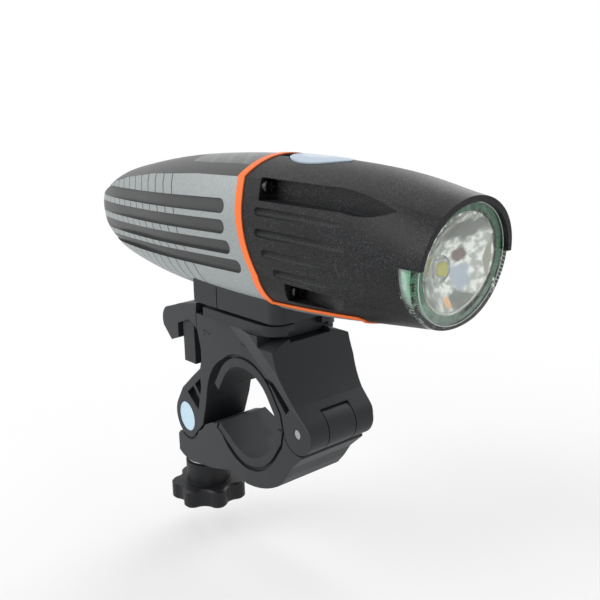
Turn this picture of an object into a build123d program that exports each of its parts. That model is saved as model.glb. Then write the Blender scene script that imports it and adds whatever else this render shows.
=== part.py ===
from build123d import *
import math
import os

os.makedirs("parts", exist_ok=True)

# Bicycle headlight on a handlebar clamp, in millimetres. The origin is the middle of the handlebar bore.
# +X is the way the beam points, +Y is along the handlebar and +Z is up.

# Shared clearances
overrun = 40.0
running_gap = 0.05
slip_gap = 0.15
side_gap = 0.3
plate_gap = 0.85

# Handlebar and liners
bar_radius = 11.1
liner_wall = 2.1
liner_step = 1.0
liner_step_depth = 1.0
liner_inset = 0.25
jaw_split = 0.6
flare_angle = 55.0
rear_flare_angle = 27.0
flare_length = 4.9
rear_flare_length = 7.9
mouth_bulge = 1.2

# Clamp, seen from the side
hinge_distance = 20.0
hinge_height = 0.95
barrel_distance = 28.7
barrel_drop = 10.0
clamp_half_width = 8.64
clamp_rear_taper = 0.091
clamp_front_taper = 0.038
jaw_rise = 20.15
knuckle_radius = 4.8
knuckle_half_width = 3.95
pin_radius = 1.1
ear_radius = 5.6
ear_notch_gap = 0.7
arm_pocket_half_web = 4.5
nose_pocket_half_web = 7.7
nose_half_width = 11.5
nose_crown_radius = 26.0
nose_crown_rear = 9.6

# Clamp bolt, washer and knob
barrel_radius = 3.95
bolt_radius = 2.5
bolt_slot_gap = 0.4
fork_reach = 12.5
washer_gap = 0.15
washer_radius = 5.4
washer_thickness = 1.0
washer_dish = 0.3
collar_radius = 6.0
collar_height = 5.75
star_radius = 10.15
star_height = 5.0
star_lobes = 7
star_edge = 0.5
star_turn = -19.0
star_lobe_share = 0.25
star_hollow_share = 1.12
insert_radius = 4.0
insert_height = 3.0
bolt_end_gap = 1.2

# Shoe, rail and block
shoe_top = 24.0
shoe_lip = 1.55
shoe_half_width = 10.46
shoe_rear = 12.2
shoe_front = 13.9
shoe_corner = 4.5
shoe_skirt = 2.38
rail_half_width = 5.9
rail_neck_half_width = 4.0
rail_front_inset = 2.0
block_half_width = 10.46
block_rear = 16.3
block_front = 15.3
block_height = 2.45
block_corner = 3.0
block_rear_corner = 0.8
block_line = 0.35
block_line_place = 6.4
block_screw_place = 9.0
block_screw_radius = 1.2
block_screw_head = 2.2
block_screw_head_depth = 1.2
block_screw_bite = 4.2
stop_length = 1.0

# Release latch
latch_pivot_distance = 2.5
latch_pivot_height = 18.0
latch_pivot_radius = 1.5
latch_gap_radius = 18.3
tongue_thickness = 2.2
tongue_half_width = 3.4
tongue_lift = 0.1
latch_travel_angle = 5.0
notch_depth = 0.9
nub_rear = 14.9
nub_length = 2.2
notch_play = 0.35
leg_half_width = 5.1
leg_rear = 29.5
leg_front = 24.6
leg_foot = 5.3

# Battery and the inside of the body
cell_radius = 9.2
cell_length = 65.0
cell_rear = 29.0
holder_wall = 0.8
holder_gap = 0.2
holder_end = 1.2
holder_rib = 3.0
bay_gap = 0.4
side_wall = 2.85
crest_height = 5.7
keel_depth = 6.0
cell_below_axis = 0.5
bay_half_width = 7.0
bay_height = 2.9
bay_rear = 17.0
bay_front = 36.0
board_thickness = 1.0
board_half_width = 6.3
board_gap = 0.3
chip_height = 0.8

# Body outline
tail_length = 70.5
nose_length = 60.5
seam_place = 6.0
trim_width = 2.2
trim_proud = 0.25
trim_strip = 0.8
groove_depth = 0.9
groove_end_rise = 0.3

# Mouth and optics
mouth_place = 57.1
mouth_below_axis = 0.95
mouth_tilt = 8.0
lens_radius = 12.1
lens_inset = 0.3
lens_thickness = 1.5
ear_top_above_mouth = 1.0
ear_length = 5.6
skirt_depth = 1.2
gasket_wall = 2.05
gasket_depth = 3.4
beam_below_mouth = 1.4
board_behind_mouth = 6.9
bowl_focus = 4.95
bowl_radius = 11.9
bowl_middle_share = 0.6
reflector_wall = 0.7
reflector_hole = 2.7
led_board_radius = 8.4
led_board_thickness = 1.2
emitter_half_width = 1.75
emitter_height = 0.7
dome_radius = 1.6
sink_radius = 9.0
sink_thickness = 5.0
sink_groove = 0.8
sink_grooves = 5
optic_wire_hole = 1.5

# Button and indicator
button_rear = 11.4
button_front = 28.0
button_half_width = 5.4
button_proud = 0.2
body_overhang = 0.7
button_thickness = 1.8
button_travel = 0.6
button_gap = 0.25
plunger_radius = 1.5
switch_half_width = 2.2
switch_height = 1.5
window_thickness = 0.8
window_rear = 19.4
window_half_width = 8.1

# Screws in the side recesses
screw_head_radius = 1.5
screw_head_height = 1.2
screw_slot_width = 0.5
screw_slot_length = 1.95
screw_radius = 0.85
screw_bite = 5.0
upper_screw_place = 13.6
upper_screw_half_width = 10.6
upper_screw_above_axis = 10.9
lower_screw_place = 20.6
lower_screw_half_width = 9.4
lower_screw_below_axis = 10.4
recess_above_screw = 2.0
upper_recess_below_screw = 2.7
lower_recess_below_screw = 1.85
lower_recess_length = 30.4
pill_radius = 1.0

# Charging socket and its cover
port_place = 52.0
port_width = 8.9
port_thickness = 3.2
port_depth = 7.3
port_wall = 0.4
port_gap = 0.1
cover_length = 8.6
cover_half_width = 5.6
cover_thickness = 1.1
cover_gap = 0.25
cover_rear_gap = 0.4
tail_bay_half_width = 4.8
tail_bay_rear = 57.0
tail_bay_height = 11.0
tail_floor = 3.2

# Places worked out from the sizes above
hinge = (hinge_distance, hinge_height)
barrel = (-barrel_distance, -barrel_drop)
seat_radius = bar_radius + liner_wall
shoe_skirt_bottom = shoe_top - shoe_skirt
rail_top = shoe_top - shoe_lip - slip_gap
rail_bottom = jaw_rise + slip_gap
block_bottom = shoe_top + plate_gap
holder_radius = cell_radius + holder_gap + holder_wall
bay_radius = holder_radius + holder_gap
body_half_width = cell_radius + holder_wall + bay_gap + side_wall + holder_gap
body_rise = holder_radius + holder_gap + bay_gap + crest_height
body_drop = holder_radius + holder_gap + bay_gap + keel_depth
axis_height = block_bottom + block_height + body_drop
cell_height = axis_height - cell_below_axis
bay_top = cell_height + holder_radius + bay_height
mouth_height = axis_height - mouth_below_axis
beam_height = mouth_height - beam_below_mouth
led_place = mouth_place - board_behind_mouth


def at(x, z, y=0.0):
    """A point of the side view."""
    return Vector(x, y, z)


def side_outline(start, *steps):
    """A face in the side view. A step is a point, or two points for an arc through one to the other."""
    edges = []
    here = start
    for step in steps:
        if isinstance(step[0], tuple):
            middle, end = step
            edges.append(ThreePointArc(at(*here), at(*middle), at(*end)))
        else:
            end = step
            edges.append(Line(at(*here), at(*end)))
        here = end
    if here != start:
        edges.append(Line(at(*here), at(*start)))
    return Face(Wire(edges))


def across(face, y_from, y_to):
    """Extrudes a side view face from one Y to another."""
    return extrude(face.moved(Location((0, y_from, 0))), amount=y_to - y_from, dir=(0, 1, 0))


def through(face):
    """Extrudes a side view face across the whole width."""
    return across(face, -overrun, overrun)


def both_sides(face, y_inner):
    """Extrudes a side view face outward from y_inner on both sides."""
    return across(face, y_inner, overrun) + across(face, -overrun, -y_inner)


def block(x_from, x_to, y_half, z_from, z_to):
    """A box that is symmetric about the middle plane."""
    box = Box(x_to - x_from, 2 * y_half, z_to - z_from, align=(Align.MIN, Align.CENTER, Align.MIN))
    return Location((x_from, 0, z_from)) * box


def rod(radius, start, end):
    """A cylinder between two points."""
    axis = Vector(*end) - Vector(*start)
    return Part() + Solid.make_cylinder(radius, axis.length, Plane(origin=start, z_dir=axis))


def cross_rod(radius, centre, half_length):
    """A cylinder along Y at a point of the side view."""
    x, z = centre
    return rod(radius, (x, -half_length, z), (x, half_length, z))


def in_clamp_sides(shape, inset=0.0):
    """Keeps what lies between the clamp's two side faces, which draw in towards the rear."""
    rear_x = -2 * barrel_distance
    front_x = 2 * barrel_distance
    middle_half = clamp_half_width - inset
    rear_half = middle_half + clamp_rear_taper * rear_x
    front_half = middle_half + clamp_front_taper * front_x
    one_side = [(rear_x, rear_half), (0.0, middle_half), (front_x, front_half)]
    corners = one_side + [(x, -y) for x, y in reversed(one_side)]
    plan = Face(Wire.make_polygon([Vector(x, y, -2 * overrun) for x, y in corners], close=True))
    return shape & extrude(plan, amount=4 * overrun, dir=(0, 0, 1))


def on_circle(radius, degrees):
    """A point at an angle from the top, turning towards the front."""
    angle = math.radians(degrees)
    return (radius * math.sin(angle), radius * math.cos(angle))


def along_tangent(radius, degrees, length):
    """The point a length along the tangent that leaves the circle at an angle from the top."""
    angle = math.radians(degrees)
    x, z = on_circle(radius, degrees)
    turn = math.copysign(1.0, degrees)
    return (x + turn * length * math.cos(angle), z - turn * length * math.sin(angle))


def bore_face(grow):
    """The handlebar bore with its flared front, grown by a wall."""
    radius = bar_radius + grow
    upper_start = on_circle(radius, flare_angle)
    upper_end = along_tangent(radius, flare_angle, flare_length)
    flare = side_outline(
        (0.0, 0.0),
        upper_start,
        upper_end,
        (radius + mouth_bulge, 0.0),
        (upper_end[0], -upper_end[1]),
        (upper_start[0], -upper_start[1]),
    )
    disc = side_outline((radius, 0.0), ((0.0, radius), (-radius, 0.0)), ((0.0, -radius), (radius, 0.0)))
    return through(disc) + through(flare)


def half_space(sign, gap):
    """Everything above (+1) or below (-1) the clamp's split."""
    near = sign * gap
    far = sign * 2 * overrun
    return block(-2 * overrun, 2 * overrun, overrun, min(near, far), max(near, far))


def rear_strip(degrees, length, mirror_z, inner_grow, outer_grow):
    """The straight rear end of a liner, or the room that it takes in a jaw."""
    corners = [
        on_circle(bar_radius + inner_grow, -degrees),
        along_tangent(bar_radius + inner_grow, -degrees, length),
        along_tangent(bar_radius + outer_grow, -degrees, length),
        on_circle(bar_radius + outer_grow, -degrees),
    ]
    return through(side_outline(*[(x, mirror_z * z) for x, z in corners]))


def front_point(x_share, z_share):
    """A point of the clamp in front of the bore, as shares of the hinge's distance and the jaw's rise."""
    return (x_share * hinge_distance, z_share * jaw_rise)


def rear_point(x_share, z_share):
    """A point of the clamp behind the bore, as shares of the barrel's distance and the jaw's rise."""
    return (-x_share * barrel_distance, z_share * jaw_rise)


def lower_point(x_share, z_share, reach):
    """A point of the lower jaw, as shares of a reach and the fork's depth."""
    return (x_share * reach, -z_share * (barrel_drop + fork_reach))


def around(centre, radius, degrees):
    """A point on a circle round another centre, at an angle from +X towards +Z."""
    angle = math.radians(degrees)
    return (centre[0] + radius * math.cos(angle), centre[1] + radius * math.sin(angle))


def latch_gap_outline(grow):
    """The round face between jaw and latch, drawn about the latch's pivot."""
    pivot = (-latch_pivot_distance, latch_pivot_height)
    radius = latch_gap_radius + grow
    return [around(pivot, radius, degrees) for degrees in (165.0, 176.0, 187.0)]


# Clamp


def upper_jaw_outline():
    gap_top_z = jaw_rise
    pivot_x, pivot_z = -latch_pivot_distance, latch_pivot_height
    gap_top_x = pivot_x - math.sqrt(latch_gap_radius**2 - (gap_top_z - pivot_z) ** 2)
    gap_middle = around((pivot_x, pivot_z), latch_gap_radius, 180.0)
    gap_bottom = around((pivot_x, pivot_z), latch_gap_radius, 187.0)
    return side_outline(
        (gap_top_x, gap_top_z),
        (-shoe_rear, jaw_rise),
        (-shoe_rear, shoe_skirt_bottom),
        front_point(0.71, shoe_skirt_bottom / jaw_rise),
        (front_point(0.81, 0.724), front_point(1.02, 0.362)),
        around(hinge, knuckle_radius, 42.0),
        hinge,
        (front_point(0.815, 0)[0], jaw_split / 2),
        (front_point(0.46, 0)[0], jaw_split / 2),
        front_point(0.46, 0.3),
        rear_point(0.22, 0.6),
        (rear_point(0.467, 0.39), rear_point(0.589, 0.1)),
        rear_point(0.634, -0.17),
        rear_point(0.71, -0.485),
        around(barrel, ear_radius, -33.0),
        barrel,
        around(barrel, ear_radius, 145.0),
        rear_point(1.05, -0.11),
        rear_point(0.843, 0.129),
        rear_point(0.707, 0.278),
        rear_point(0.676, 0.4),
        rear_point(0.672, 0.546),
        gap_bottom,
        (gap_middle, (gap_top_x, gap_top_z)),
    )


# Three points that the nose's drafted side passes through: shares of the hinge's distance, the jaw's
# rise and the nose's half width.
cheek_shares = [(0.73, 0.769, 1.0), (1.145, 0.228, 0.868), (0.25, 0.744, 0.774)]


def within_cheeks(shape):
    """Keeps what lies between the two drafted sides of the nose."""
    shape = shape & block(-overrun, overrun, nose_half_width, -overrun, overrun)
    for side in (-1, 1):
        first, second, third = [
            Vector(x * hinge_distance, side * y * nose_half_width, z * jaw_rise) for x, z, y in cheek_shares
        ]
        normal = (second - first).cross(third - first)
        if normal.Y * side < 0:
            normal = normal * -1
        beyond = Box(4 * overrun, 4 * overrun, overrun, align=(Align.CENTER, Align.CENTER, Align.MIN))
        shape -= Plane(origin=first, z_dir=normal) * beyond
    return shape


def above_crown():
    """What lies above the rounded top of the nose."""
    crown = rod(nose_crown_radius, (0, 0, shoe_skirt_bottom - nose_crown_radius),
                (overrun, 0, shoe_skirt_bottom - nose_crown_radius))
    return block(nose_crown_rear, overrun, overrun, hinge_height, 2 * overrun) - crown


def plan_plate(rear, front, half_width, corner, rear_corner, z_from, z_to):
    """A flat plate whose front and rear corners are rounded."""
    plate = block(-rear, front, half_width, z_from, z_to)
    upright = plate.edges().filter_by(Axis.Z).sort_by(Axis.X)
    plate = fillet(upright[-2:], corner)
    if rear_corner > 0:
        upright = plate.edges().filter_by(Axis.Z).sort_by(Axis.X)
        plate = fillet(upright[:2], rear_corner)
    return plate


def bolt_sweep(half_width, room):
    """The slot that lets the bolt swing from straight down to straight back."""
    x, z = barrel
    down = block(x - room, x + room, half_width, z - overrun, z)
    back = block(x - overrun, x, half_width, z - room, z + room)
    corner = block(x - overrun, x, half_width, z - overrun, z)
    return down + back + corner + cross_rod(room, barrel, half_width)


def arm_pockets():
    """Two cored pockets on each side of the rear arm, with a thin rib between them."""
    pocket = both_sides(
        side_outline(
            rear_point(0.71, 0.15),
            rear_point(0.965, -0.14),
            rear_point(0.775, -0.31),
            rear_point(0.705, 0.02),
        ),
        arm_pocket_half_web,
    )
    rib = through(
        side_outline(
            rear_point(0.87, 0.02),
            rear_point(0.845, 0.06),
            rear_point(0.68, -0.15),
            rear_point(0.68, -0.21),
        )
    )
    return pocket - rib


def nose_pockets():
    """A slanted slot on each side of the nose."""
    return both_sides(
        side_outline(
            front_point(0.41, 0.551),
            front_point(0.595, 0.546),
            front_point(0.875, 0.298),
            front_point(0.81, 0.223),
            front_point(0.56, 0.471),
        ),
        nose_pocket_half_web,
    )


def liner_steps(sign):
    """The shallow step round the liner on both sides of a jaw."""
    step = bore_face(liner_wall + liner_step) & half_space(sign, 0.0)
    middle = in_clamp_sides(through(side_outline(
        (-overrun, -overrun), (overrun, -overrun), (overrun, overrun), (-overrun, overrun)
    )), liner_step_depth)
    return step - middle


def shoe_channel():
    """The T slot that takes the rail, open at both ends."""
    rear = -shoe_rear - overrun
    flange_room = block(rear, overrun, rail_half_width + slip_gap, jaw_rise, shoe_top - shoe_lip)
    neck_room = block(rear, overrun, rail_neck_half_width + slip_gap, jaw_rise, shoe_top + overrun)
    return flange_room + neck_room


def tongue_slot():
    """The slot under the rail in which the latch's tongue swings down."""
    pivot = (-latch_pivot_distance, latch_pivot_height)
    drop = math.tan(math.radians(latch_travel_angle)) * latch_gap_radius + side_gap
    low = latch_pivot_height - tongue_thickness / 2
    slot = across(
        side_outline(
            (-latch_pivot_distance, low - side_gap),
            (-latch_pivot_distance, jaw_rise + overrun),
            (-latch_pivot_distance - 2 * latch_gap_radius, jaw_rise + overrun),
            (-latch_pivot_distance - 2 * latch_gap_radius, low - 2 * drop),
        ),
        -tongue_half_width - side_gap,
        tongue_half_width + side_gap,
    )
    top_room = block(
        -latch_pivot_distance - latch_pivot_radius - running_gap,
        -latch_pivot_distance + latch_pivot_radius + running_gap,
        tongue_half_width + side_gap,
        latch_pivot_height,
        jaw_rise + overrun,
    )
    socket = cross_rod(latch_pivot_radius + running_gap, pivot, tongue_half_width + side_gap)
    return slot + top_room + socket


def upper_jaw():
    side = through(upper_jaw_outline())
    side += cross_rod(knuckle_radius, hinge, overrun)
    side += cross_rod(ear_radius, barrel, overrun)
    jaw = in_clamp_sides(side) + within_cheeks(side)
    jaw -= above_crown()
    jaw += plan_plate(
        shoe_rear, shoe_front, shoe_half_width, shoe_corner, 0, shoe_top - shoe_skirt, shoe_top
    )
    stop_rear = block_rear + slip_gap + stop_length
    jaw += block(-stop_rear, -block_rear - slip_gap, rail_half_width, jaw_rise - slip_gap, rail_top)
    jaw -= shoe_channel() - block(-stop_rear - overrun, -block_rear - slip_gap, overrun, 0.0, overrun)
    jaw -= tongue_slot()
    jaw -= bore_face(liner_wall)
    jaw -= liner_steps(1)
    jaw -= cross_rod(knuckle_radius + side_gap + slip_gap, hinge, knuckle_half_width + side_gap)
    jaw -= cross_rod(pin_radius, hinge, overrun)
    jaw -= cross_rod(barrel_radius + running_gap, barrel, overrun)
    jaw -= bolt_sweep(bolt_radius + bolt_slot_gap, bolt_radius + bolt_slot_gap)
    jaw -= arm_pockets()
    jaw -= nose_pockets()
    return jaw


def lower_jaw_outline():
    notch = ear_radius + ear_notch_gap
    seat = knuckle_radius + side_gap
    fork_start = around(barrel, fork_reach, -72.5)
    fork_end = around(barrel, fork_reach, -115.0)
    return side_outline(
        around(barrel, notch, -117.0),
        (around(barrel, notch, -70.0), around(barrel, notch, -22.0)),
        lower_point(-0.72, 0.49, barrel_distance),
        lower_point(-0.662, 0.409, barrel_distance),
        lower_point(-0.557, 0.342, barrel_distance),
        lower_point(-0.474, 0.316, barrel_distance),
        lower_point(-0.3, 0.2, barrel_distance),
        (lower_point(0.4, 0, hinge_distance)[0], -jaw_split / 2),
        (lower_point(0.76, 0, hinge_distance)[0], -jaw_split / 2),
        around(hinge, seat, 212.0),
        (around(hinge, seat, 250.0), around(hinge, seat, 285.0)),
        lower_point(1.07, 0.2, hinge_distance),
        lower_point(0.875, 0.36, hinge_distance),
        lower_point(0.77, 0.5, hinge_distance),
        lower_point(0.66, 0.615, hinge_distance),
        (lower_point(0.4, 0.735, hinge_distance), lower_point(0.0, 0.81, hinge_distance)),
        lower_point(-0.105, 0.8, barrel_distance),
        lower_point(-0.26, 0.782, barrel_distance),
        lower_point(-0.38, 0.83, barrel_distance),
        lower_point(-0.59, 0.911, barrel_distance),
        fork_start,
        (around(barrel, fork_reach, -93.0), fork_end),
        lower_point(-1.185, 0.738, barrel_distance),
        lower_point(-1.15, 0.69, barrel_distance),
    )


def lower_jaw():
    jaw = through(lower_jaw_outline())
    jaw -= bore_face(liner_wall) & half_space(-1, 0.0)
    jaw -= rear_strip(rear_flare_angle, rear_flare_length + side_gap, -1, -liner_wall, liner_wall)
    jaw = in_clamp_sides(jaw)
    jaw -= liner_steps(-1)
    web = side_outline(
        hinge,
        around(hinge, knuckle_radius + 2 * side_gap, 212.0),
        around(hinge, knuckle_radius + 6 * side_gap, 250.0),
        around(hinge, knuckle_radius + 2 * side_gap, 283.0),
    )
    jaw += across(web, -knuckle_half_width, knuckle_half_width)
    jaw += cross_rod(knuckle_radius, hinge, knuckle_half_width)
    jaw -= cross_rod(pin_radius + running_gap, hinge, overrun)
    fork_half = bolt_radius + bolt_slot_gap
    jaw -= block(-2 * overrun, barrel[0] + fork_half, fork_half, -overrun, 0.0)
    return jaw


def upper_liner():
    liner = (bore_face(liner_wall) - bore_face(0.0)) & half_space(1, jaw_split / 2)
    liner -= through(
        side_outline(
            (0.0, 0.0),
            on_circle(2 * seat_radius, -flare_angle),
            (-2 * seat_radius, -seat_radius),
            (0.0, -seat_radius),
        )
    )
    liner += rear_strip(flare_angle, flare_length, 1, 0.0, liner_wall)
    return in_clamp_sides(liner, liner_inset)


def lower_liner():
    liner = (bore_face(liner_wall) - bore_face(0.0)) & half_space(-1, jaw_split / 2)
    x, z = on_circle(2 * seat_radius, -rear_flare_angle)
    far = -2 * seat_radius
    liner -= through(side_outline((0.0, 0.0), (x, -z), (far, -z), (far, seat_radius)))
    liner += rear_strip(rear_flare_angle, rear_flare_length, -1, 0.0, liner_wall)
    return in_clamp_sides(liner, liner_inset)


def hinge_pin():
    return in_clamp_sides(cross_rod(pin_radius, hinge, overrun), slip_gap)


def release_latch():
    """The rear hook with its finger leg, and the tongue that runs under the rail to its pivot."""
    arc_top, arc_middle, arc_bottom = latch_gap_outline(side_gap)
    hook = in_clamp_sides(
        through(
            side_outline(
                (arc_top[0] - side_gap, rear_point(0, 1.118)[1]),
                rear_point(0.871, 1.082),
                rear_point(1.045, 1.027),
                rear_point(1.22, 0.933),
                (rear_point(1.35, 0.83), rear_point(1.352, 0.645)),
                rear_point(1.213, 0.49),
                rear_point(1.075, 0.566),
                rear_point(1.075, 0.76),
                rear_point(0.878, 0.87),
                rear_point(0.79, 0.855),
                arc_bottom,
                (arc_middle, arc_top),
            )
        )
    )
    root = rear_point(0, 0.85)[1]
    leg = block(-leg_rear, -leg_front, leg_half_width, leg_foot, root)
    pivot = (-latch_pivot_distance, latch_pivot_height)
    tongue_low = latch_pivot_height - tongue_thickness / 2
    tongue_high = latch_pivot_height + tongue_thickness / 2
    tongue = block(arc_middle[0] - tongue_thickness, pivot[0], tongue_half_width, tongue_low, tongue_high)
    nub_top = rail_bottom - slip_gap
    nub = across(
        side_outline(
            (-nub_rear, tongue_high),
            (-nub_rear, nub_top),
            (-nub_rear + nub_length / 2, nub_top),
            (-nub_rear + nub_length, tongue_high),
        ),
        -tongue_half_width,
        tongue_half_width,
    )
    return hook + leg + tongue + nub + cross_rod(latch_pivot_radius, pivot, tongue_half_width)


def barrel_nut():
    x, z = barrel
    nut = in_clamp_sides(cross_rod(barrel_radius, barrel, overrun), slip_gap)
    return nut - rod(bolt_radius, (x, 0, z - overrun), (x, 0, z + overrun))


def washer_top():
    return barrel[1] - fork_reach - washer_gap


def upright_rod(radius, z_from, z_to):
    """A cylinder along the clamp bolt."""
    return rod(radius, (barrel[0], 0, z_from), (barrel[0], 0, z_to))


def knob_bottom():
    return washer_top() - washer_thickness - running_gap - collar_height - star_height


def clamp_bolt():
    top = barrel[1] + barrel_radius - bolt_end_gap
    return upright_rod(bolt_radius, knob_bottom() + bolt_end_gap, top)


def thrust_washer():
    washer = upright_rod(washer_radius, washer_top() - washer_thickness, washer_top())
    washer = chamfer(washer.edges().filter_by(GeomType.CIRCLE), washer_dish)
    return washer - upright_rod(bolt_radius + running_gap, -2 * overrun, 0.0)


def star_outline(z):
    """The knob's lobes and hollows, as arcs that run smoothly into each other."""
    lobe_radius = star_lobe_share * star_radius
    lobe_place = star_radius - lobe_radius
    hollow_place = star_hollow_share * star_radius
    step = math.pi / star_lobes

    def polar(radius, angle):
        return Vector(barrel[0] + radius * math.cos(angle), radius * math.sin(angle), z)

    spacing = (polar(lobe_place, 0) - polar(hollow_place, step)).length
    reach = lobe_radius / spacing
    edges = []
    for lobe in range(star_lobes):
        angle = 2 * step * lobe + math.radians(star_turn)
        centre = polar(lobe_place, angle)
        following = polar(lobe_place, angle + 2 * step)
        before = polar(hollow_place, angle - step)
        after = polar(hollow_place, angle + step)
        start = centre + (before - centre) * reach
        end = centre + (after - centre) * reach
        onward = following + (after - following) * reach
        edges.append(ThreePointArc(start, polar(star_radius, angle), end))
        valley = polar(hollow_place - spacing + lobe_radius, angle + step)
        edges.append(ThreePointArc(end, valley, onward))
    return Face(Wire(edges))


def star_knob():
    """A lobed knob with a round collar above it."""
    collar_top = washer_top() - washer_thickness - running_gap
    star_top = collar_top - collar_height
    star = extrude(star_outline(knob_bottom()), amount=star_height, dir=(0, 0, 1))
    rims = star.edges().group_by(Axis.Z)
    star = chamfer(rims[0] + rims[-1], star_edge)
    star += upright_rod(collar_radius, star_top, collar_top)
    star -= upright_rod(bolt_radius + running_gap, -2 * overrun, 0.0)
    return star - nut_shape(insert_radius, knob_bottom(), knob_bottom() + insert_height)


def nut_shape(radius, z_from, z_to):
    """A six sided prism on the bolt's axis."""
    x = barrel[0]
    plan = Location((x, 0, z_from)) * RegularPolygon(radius, 6)
    return extrude(plan, amount=z_to - z_from, dir=(0, 0, 1))


def knob_insert():
    nut = nut_shape(insert_radius, knob_bottom(), knob_bottom() + insert_height)
    return nut - upright_rod(bolt_radius + running_gap, -2 * overrun, 0.0)


# Body shell: one row for each station along the body. The shares are of the length behind or ahead of
# the origin, of the half width, of the rise and of the drop, then the axis's own drop as a share of the
# drop, and last how round the section is.
station_shares = [
    (-1.0, 0.164, 0.145, 0.155, 0.131, 0.0),
    (-0.977, 0.283, 0.255, 0.292, 0.128, 0.0),
    (-0.922, 0.394, 0.382, 0.470, 0.119, 0.0),
    (-0.809, 0.558, 0.570, 0.679, 0.083, 0.0),
    (-0.652, 0.721, 0.715, 0.815, 0.054, 0.0),
    (-0.426, 0.892, 0.855, 0.935, 0.024, 0.0),
    (-0.142, 0.981, 0.958, 0.997, 0.006, 0.0),
    (0.132, 1.0, 1.0, 1.0, 0.0, 0.0),
    (0.496, 0.989, 0.970, 0.929, 0.0, 0.0),
    (0.744, 0.967, 0.900, 0.830, 0.012, 0.3),
    (0.942, 0.974, 0.804, 0.750, 0.042, 0.9),
    (1.0, 0.963, 0.779, 0.726, 0.048, 1.0),
]
# The corners of half a section, as shares of the half width and of the rise or the drop: the upright section
# of the body and the round one of the mouth.
upright_shares = [(0.885, 0.765), (1.0, 0.12), (0.915, 0.48), (0.83, 0.77), (0.625, 0.93)]
round_shares = [(0.644, 0.765), (1.0, 0.0), (0.877, 0.48), (0.638, 0.77), (0.368, 0.93)]


def section(x, half_width, rise, drop, axis_z, roundness):
    """One cross section of the body: a crowned top, two tall sides and a rounded keel."""

    def up(y_share, z_share):
        return Vector(x, y_share * half_width, axis_z + z_share * rise)

    def down(y_share, z_share):
        return Vector(x, y_share * half_width, axis_z - z_share * drop)

    corners = []
    for upright, circle in zip(upright_shares, round_shares):
        corners.append(tuple(a + roundness * (b - a) for a, b in zip(upright, circle)))
    crease_y, crease_z = corners[0]
    widest_z = corners[1][1]
    shoulder_y, shoulder_z = corners[2]
    bilge_y, bilge_z = corners[3]
    keel_y, keel_z = corners[4]
    edges = [
        ThreePointArc(up(-crease_y, crease_z), up(0, 1), up(crease_y, crease_z)),
        ThreePointArc(up(crease_y, crease_z), up(1, widest_z), down(shoulder_y, shoulder_z)),
        ThreePointArc(down(shoulder_y, shoulder_z), down(bilge_y, bilge_z), down(keel_y, keel_z)),
        ThreePointArc(down(keel_y, keel_z), down(0, 1), down(-keel_y, keel_z)),
        ThreePointArc(down(-keel_y, keel_z), down(-bilge_y, bilge_z), down(-shoulder_y, shoulder_z)),
        ThreePointArc(down(-shoulder_y, shoulder_z), up(-1, widest_z), up(-crease_y, crease_z)),
    ]
    return Face(Wire(edges))


def body_form(grow=0.0, end_grow=None):
    """The body's outer form, grown or shrunk all round, or by another amount at the tail's end."""
    faces = []
    for x_share, width_share, rise_share, drop_share, axis_share, roundness in station_shares:
        x = x_share * (tail_length if x_share < 0 else nose_length)
        here = grow
        if end_grow is not None:
            faded = max(0.0, (-x_share - groove_fade_share) / (1 - groove_fade_share))
            here = grow + faded * (end_grow - grow)
        faces.append(
            section(
                x,
                width_share * body_half_width + here,
                rise_share * body_rise + here,
                drop_share * body_drop + here,
                axis_height - axis_share * body_drop,
                roundness,
            )
        )
    return loft(faces)


def crest_at(x):
    """The height of the body's crest, read along the stations."""
    rows = [
        (
            row[0] * (tail_length if row[0] < 0 else nose_length),
            axis_height - row[4] * body_drop + row[2] * body_rise,
            axis_height - row[4] * body_drop - row[3] * body_drop,
        )
        for row in station_shares
    ]
    for before, after in zip(rows, rows[1:]):
        if before[0] <= x <= after[0]:
            share = (x - before[0]) / (after[0] - before[0])
            crest = before[1] + share * (after[1] - before[1])
            keel = before[2] + share * (after[2] - before[2])
            return crest, keel
    return rows[-1][1], rows[-1][2]


# The seam's lower part: where its bend starts as a share of the rise, then for its middle, heel and toe the
# shares of the half width ahead of the seam, of the drop and of the shift that the trim's front edge takes.
seam_knee_share = 0.36
seam_bend_shares = [(0.18, 0.27, 0.9), (0.47, 0.79, 0.8), (0.57, 0.857, 0.6)]
# The tongue's end as a share of the nose, and the drops at its top edge and at its tip.
tongue_shares = (0.655, 0.78, 0.80)


def behind_seam(shift):
    """Everything behind the seam, with the tongue that runs forward under the nose."""
    high = axis_height + 2 * body_rise
    low = axis_height - 2 * body_drop
    strip = shift * trim_strip / trim_width
    bend = []
    for width_share, drop_share, shift_share in seam_bend_shares:
        x = seam_place + shift_share * shift + width_share * body_half_width
        bend.append((x, axis_height - drop_share * body_drop))
    middle, heel, toe = bend
    end_share, edge_share, tip_share = tongue_shares
    tongue_end = end_share * nose_length
    return through(
        side_outline(
            (-2 * tail_length, high),
            (seam_place + shift, high),
            (seam_place + shift, axis_height + seam_knee_share * body_rise),
            (middle, (heel[0], heel[1] + strip)),
            (toe[0], toe[1] + strip),
            (tongue_end, axis_height - edge_share * body_drop + strip),
            (tongue_end + strip, axis_height - tip_share * body_drop + strip),
            (tongue_end + strip, low),
            (-2 * tail_length, low),
        )
    )


def inner_bay():
    """The room for the cell and the board above it."""
    cell_front = cell_length - cell_rear
    cell_room = rod(
        bay_radius,
        (-cell_rear - holder_end - holder_gap, 0, cell_height),
        (cell_front + holder_end + holder_gap, 0, cell_height),
    )
    board_room = block(-bay_rear, bay_front, bay_half_width, cell_height, bay_top)
    return cell_room + board_room


def tail_bay():
    """The room behind the cell for the charging socket."""
    floor = crest_at(-port_place)[1] + tail_floor
    room = block(-tail_bay_rear, -cell_rear, tail_bay_half_width, floor, floor + tail_bay_height)
    return room


# Where the grooves start to get shallower towards the tail's end, as a share of the tail.
groove_fade_share = 0.652


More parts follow.
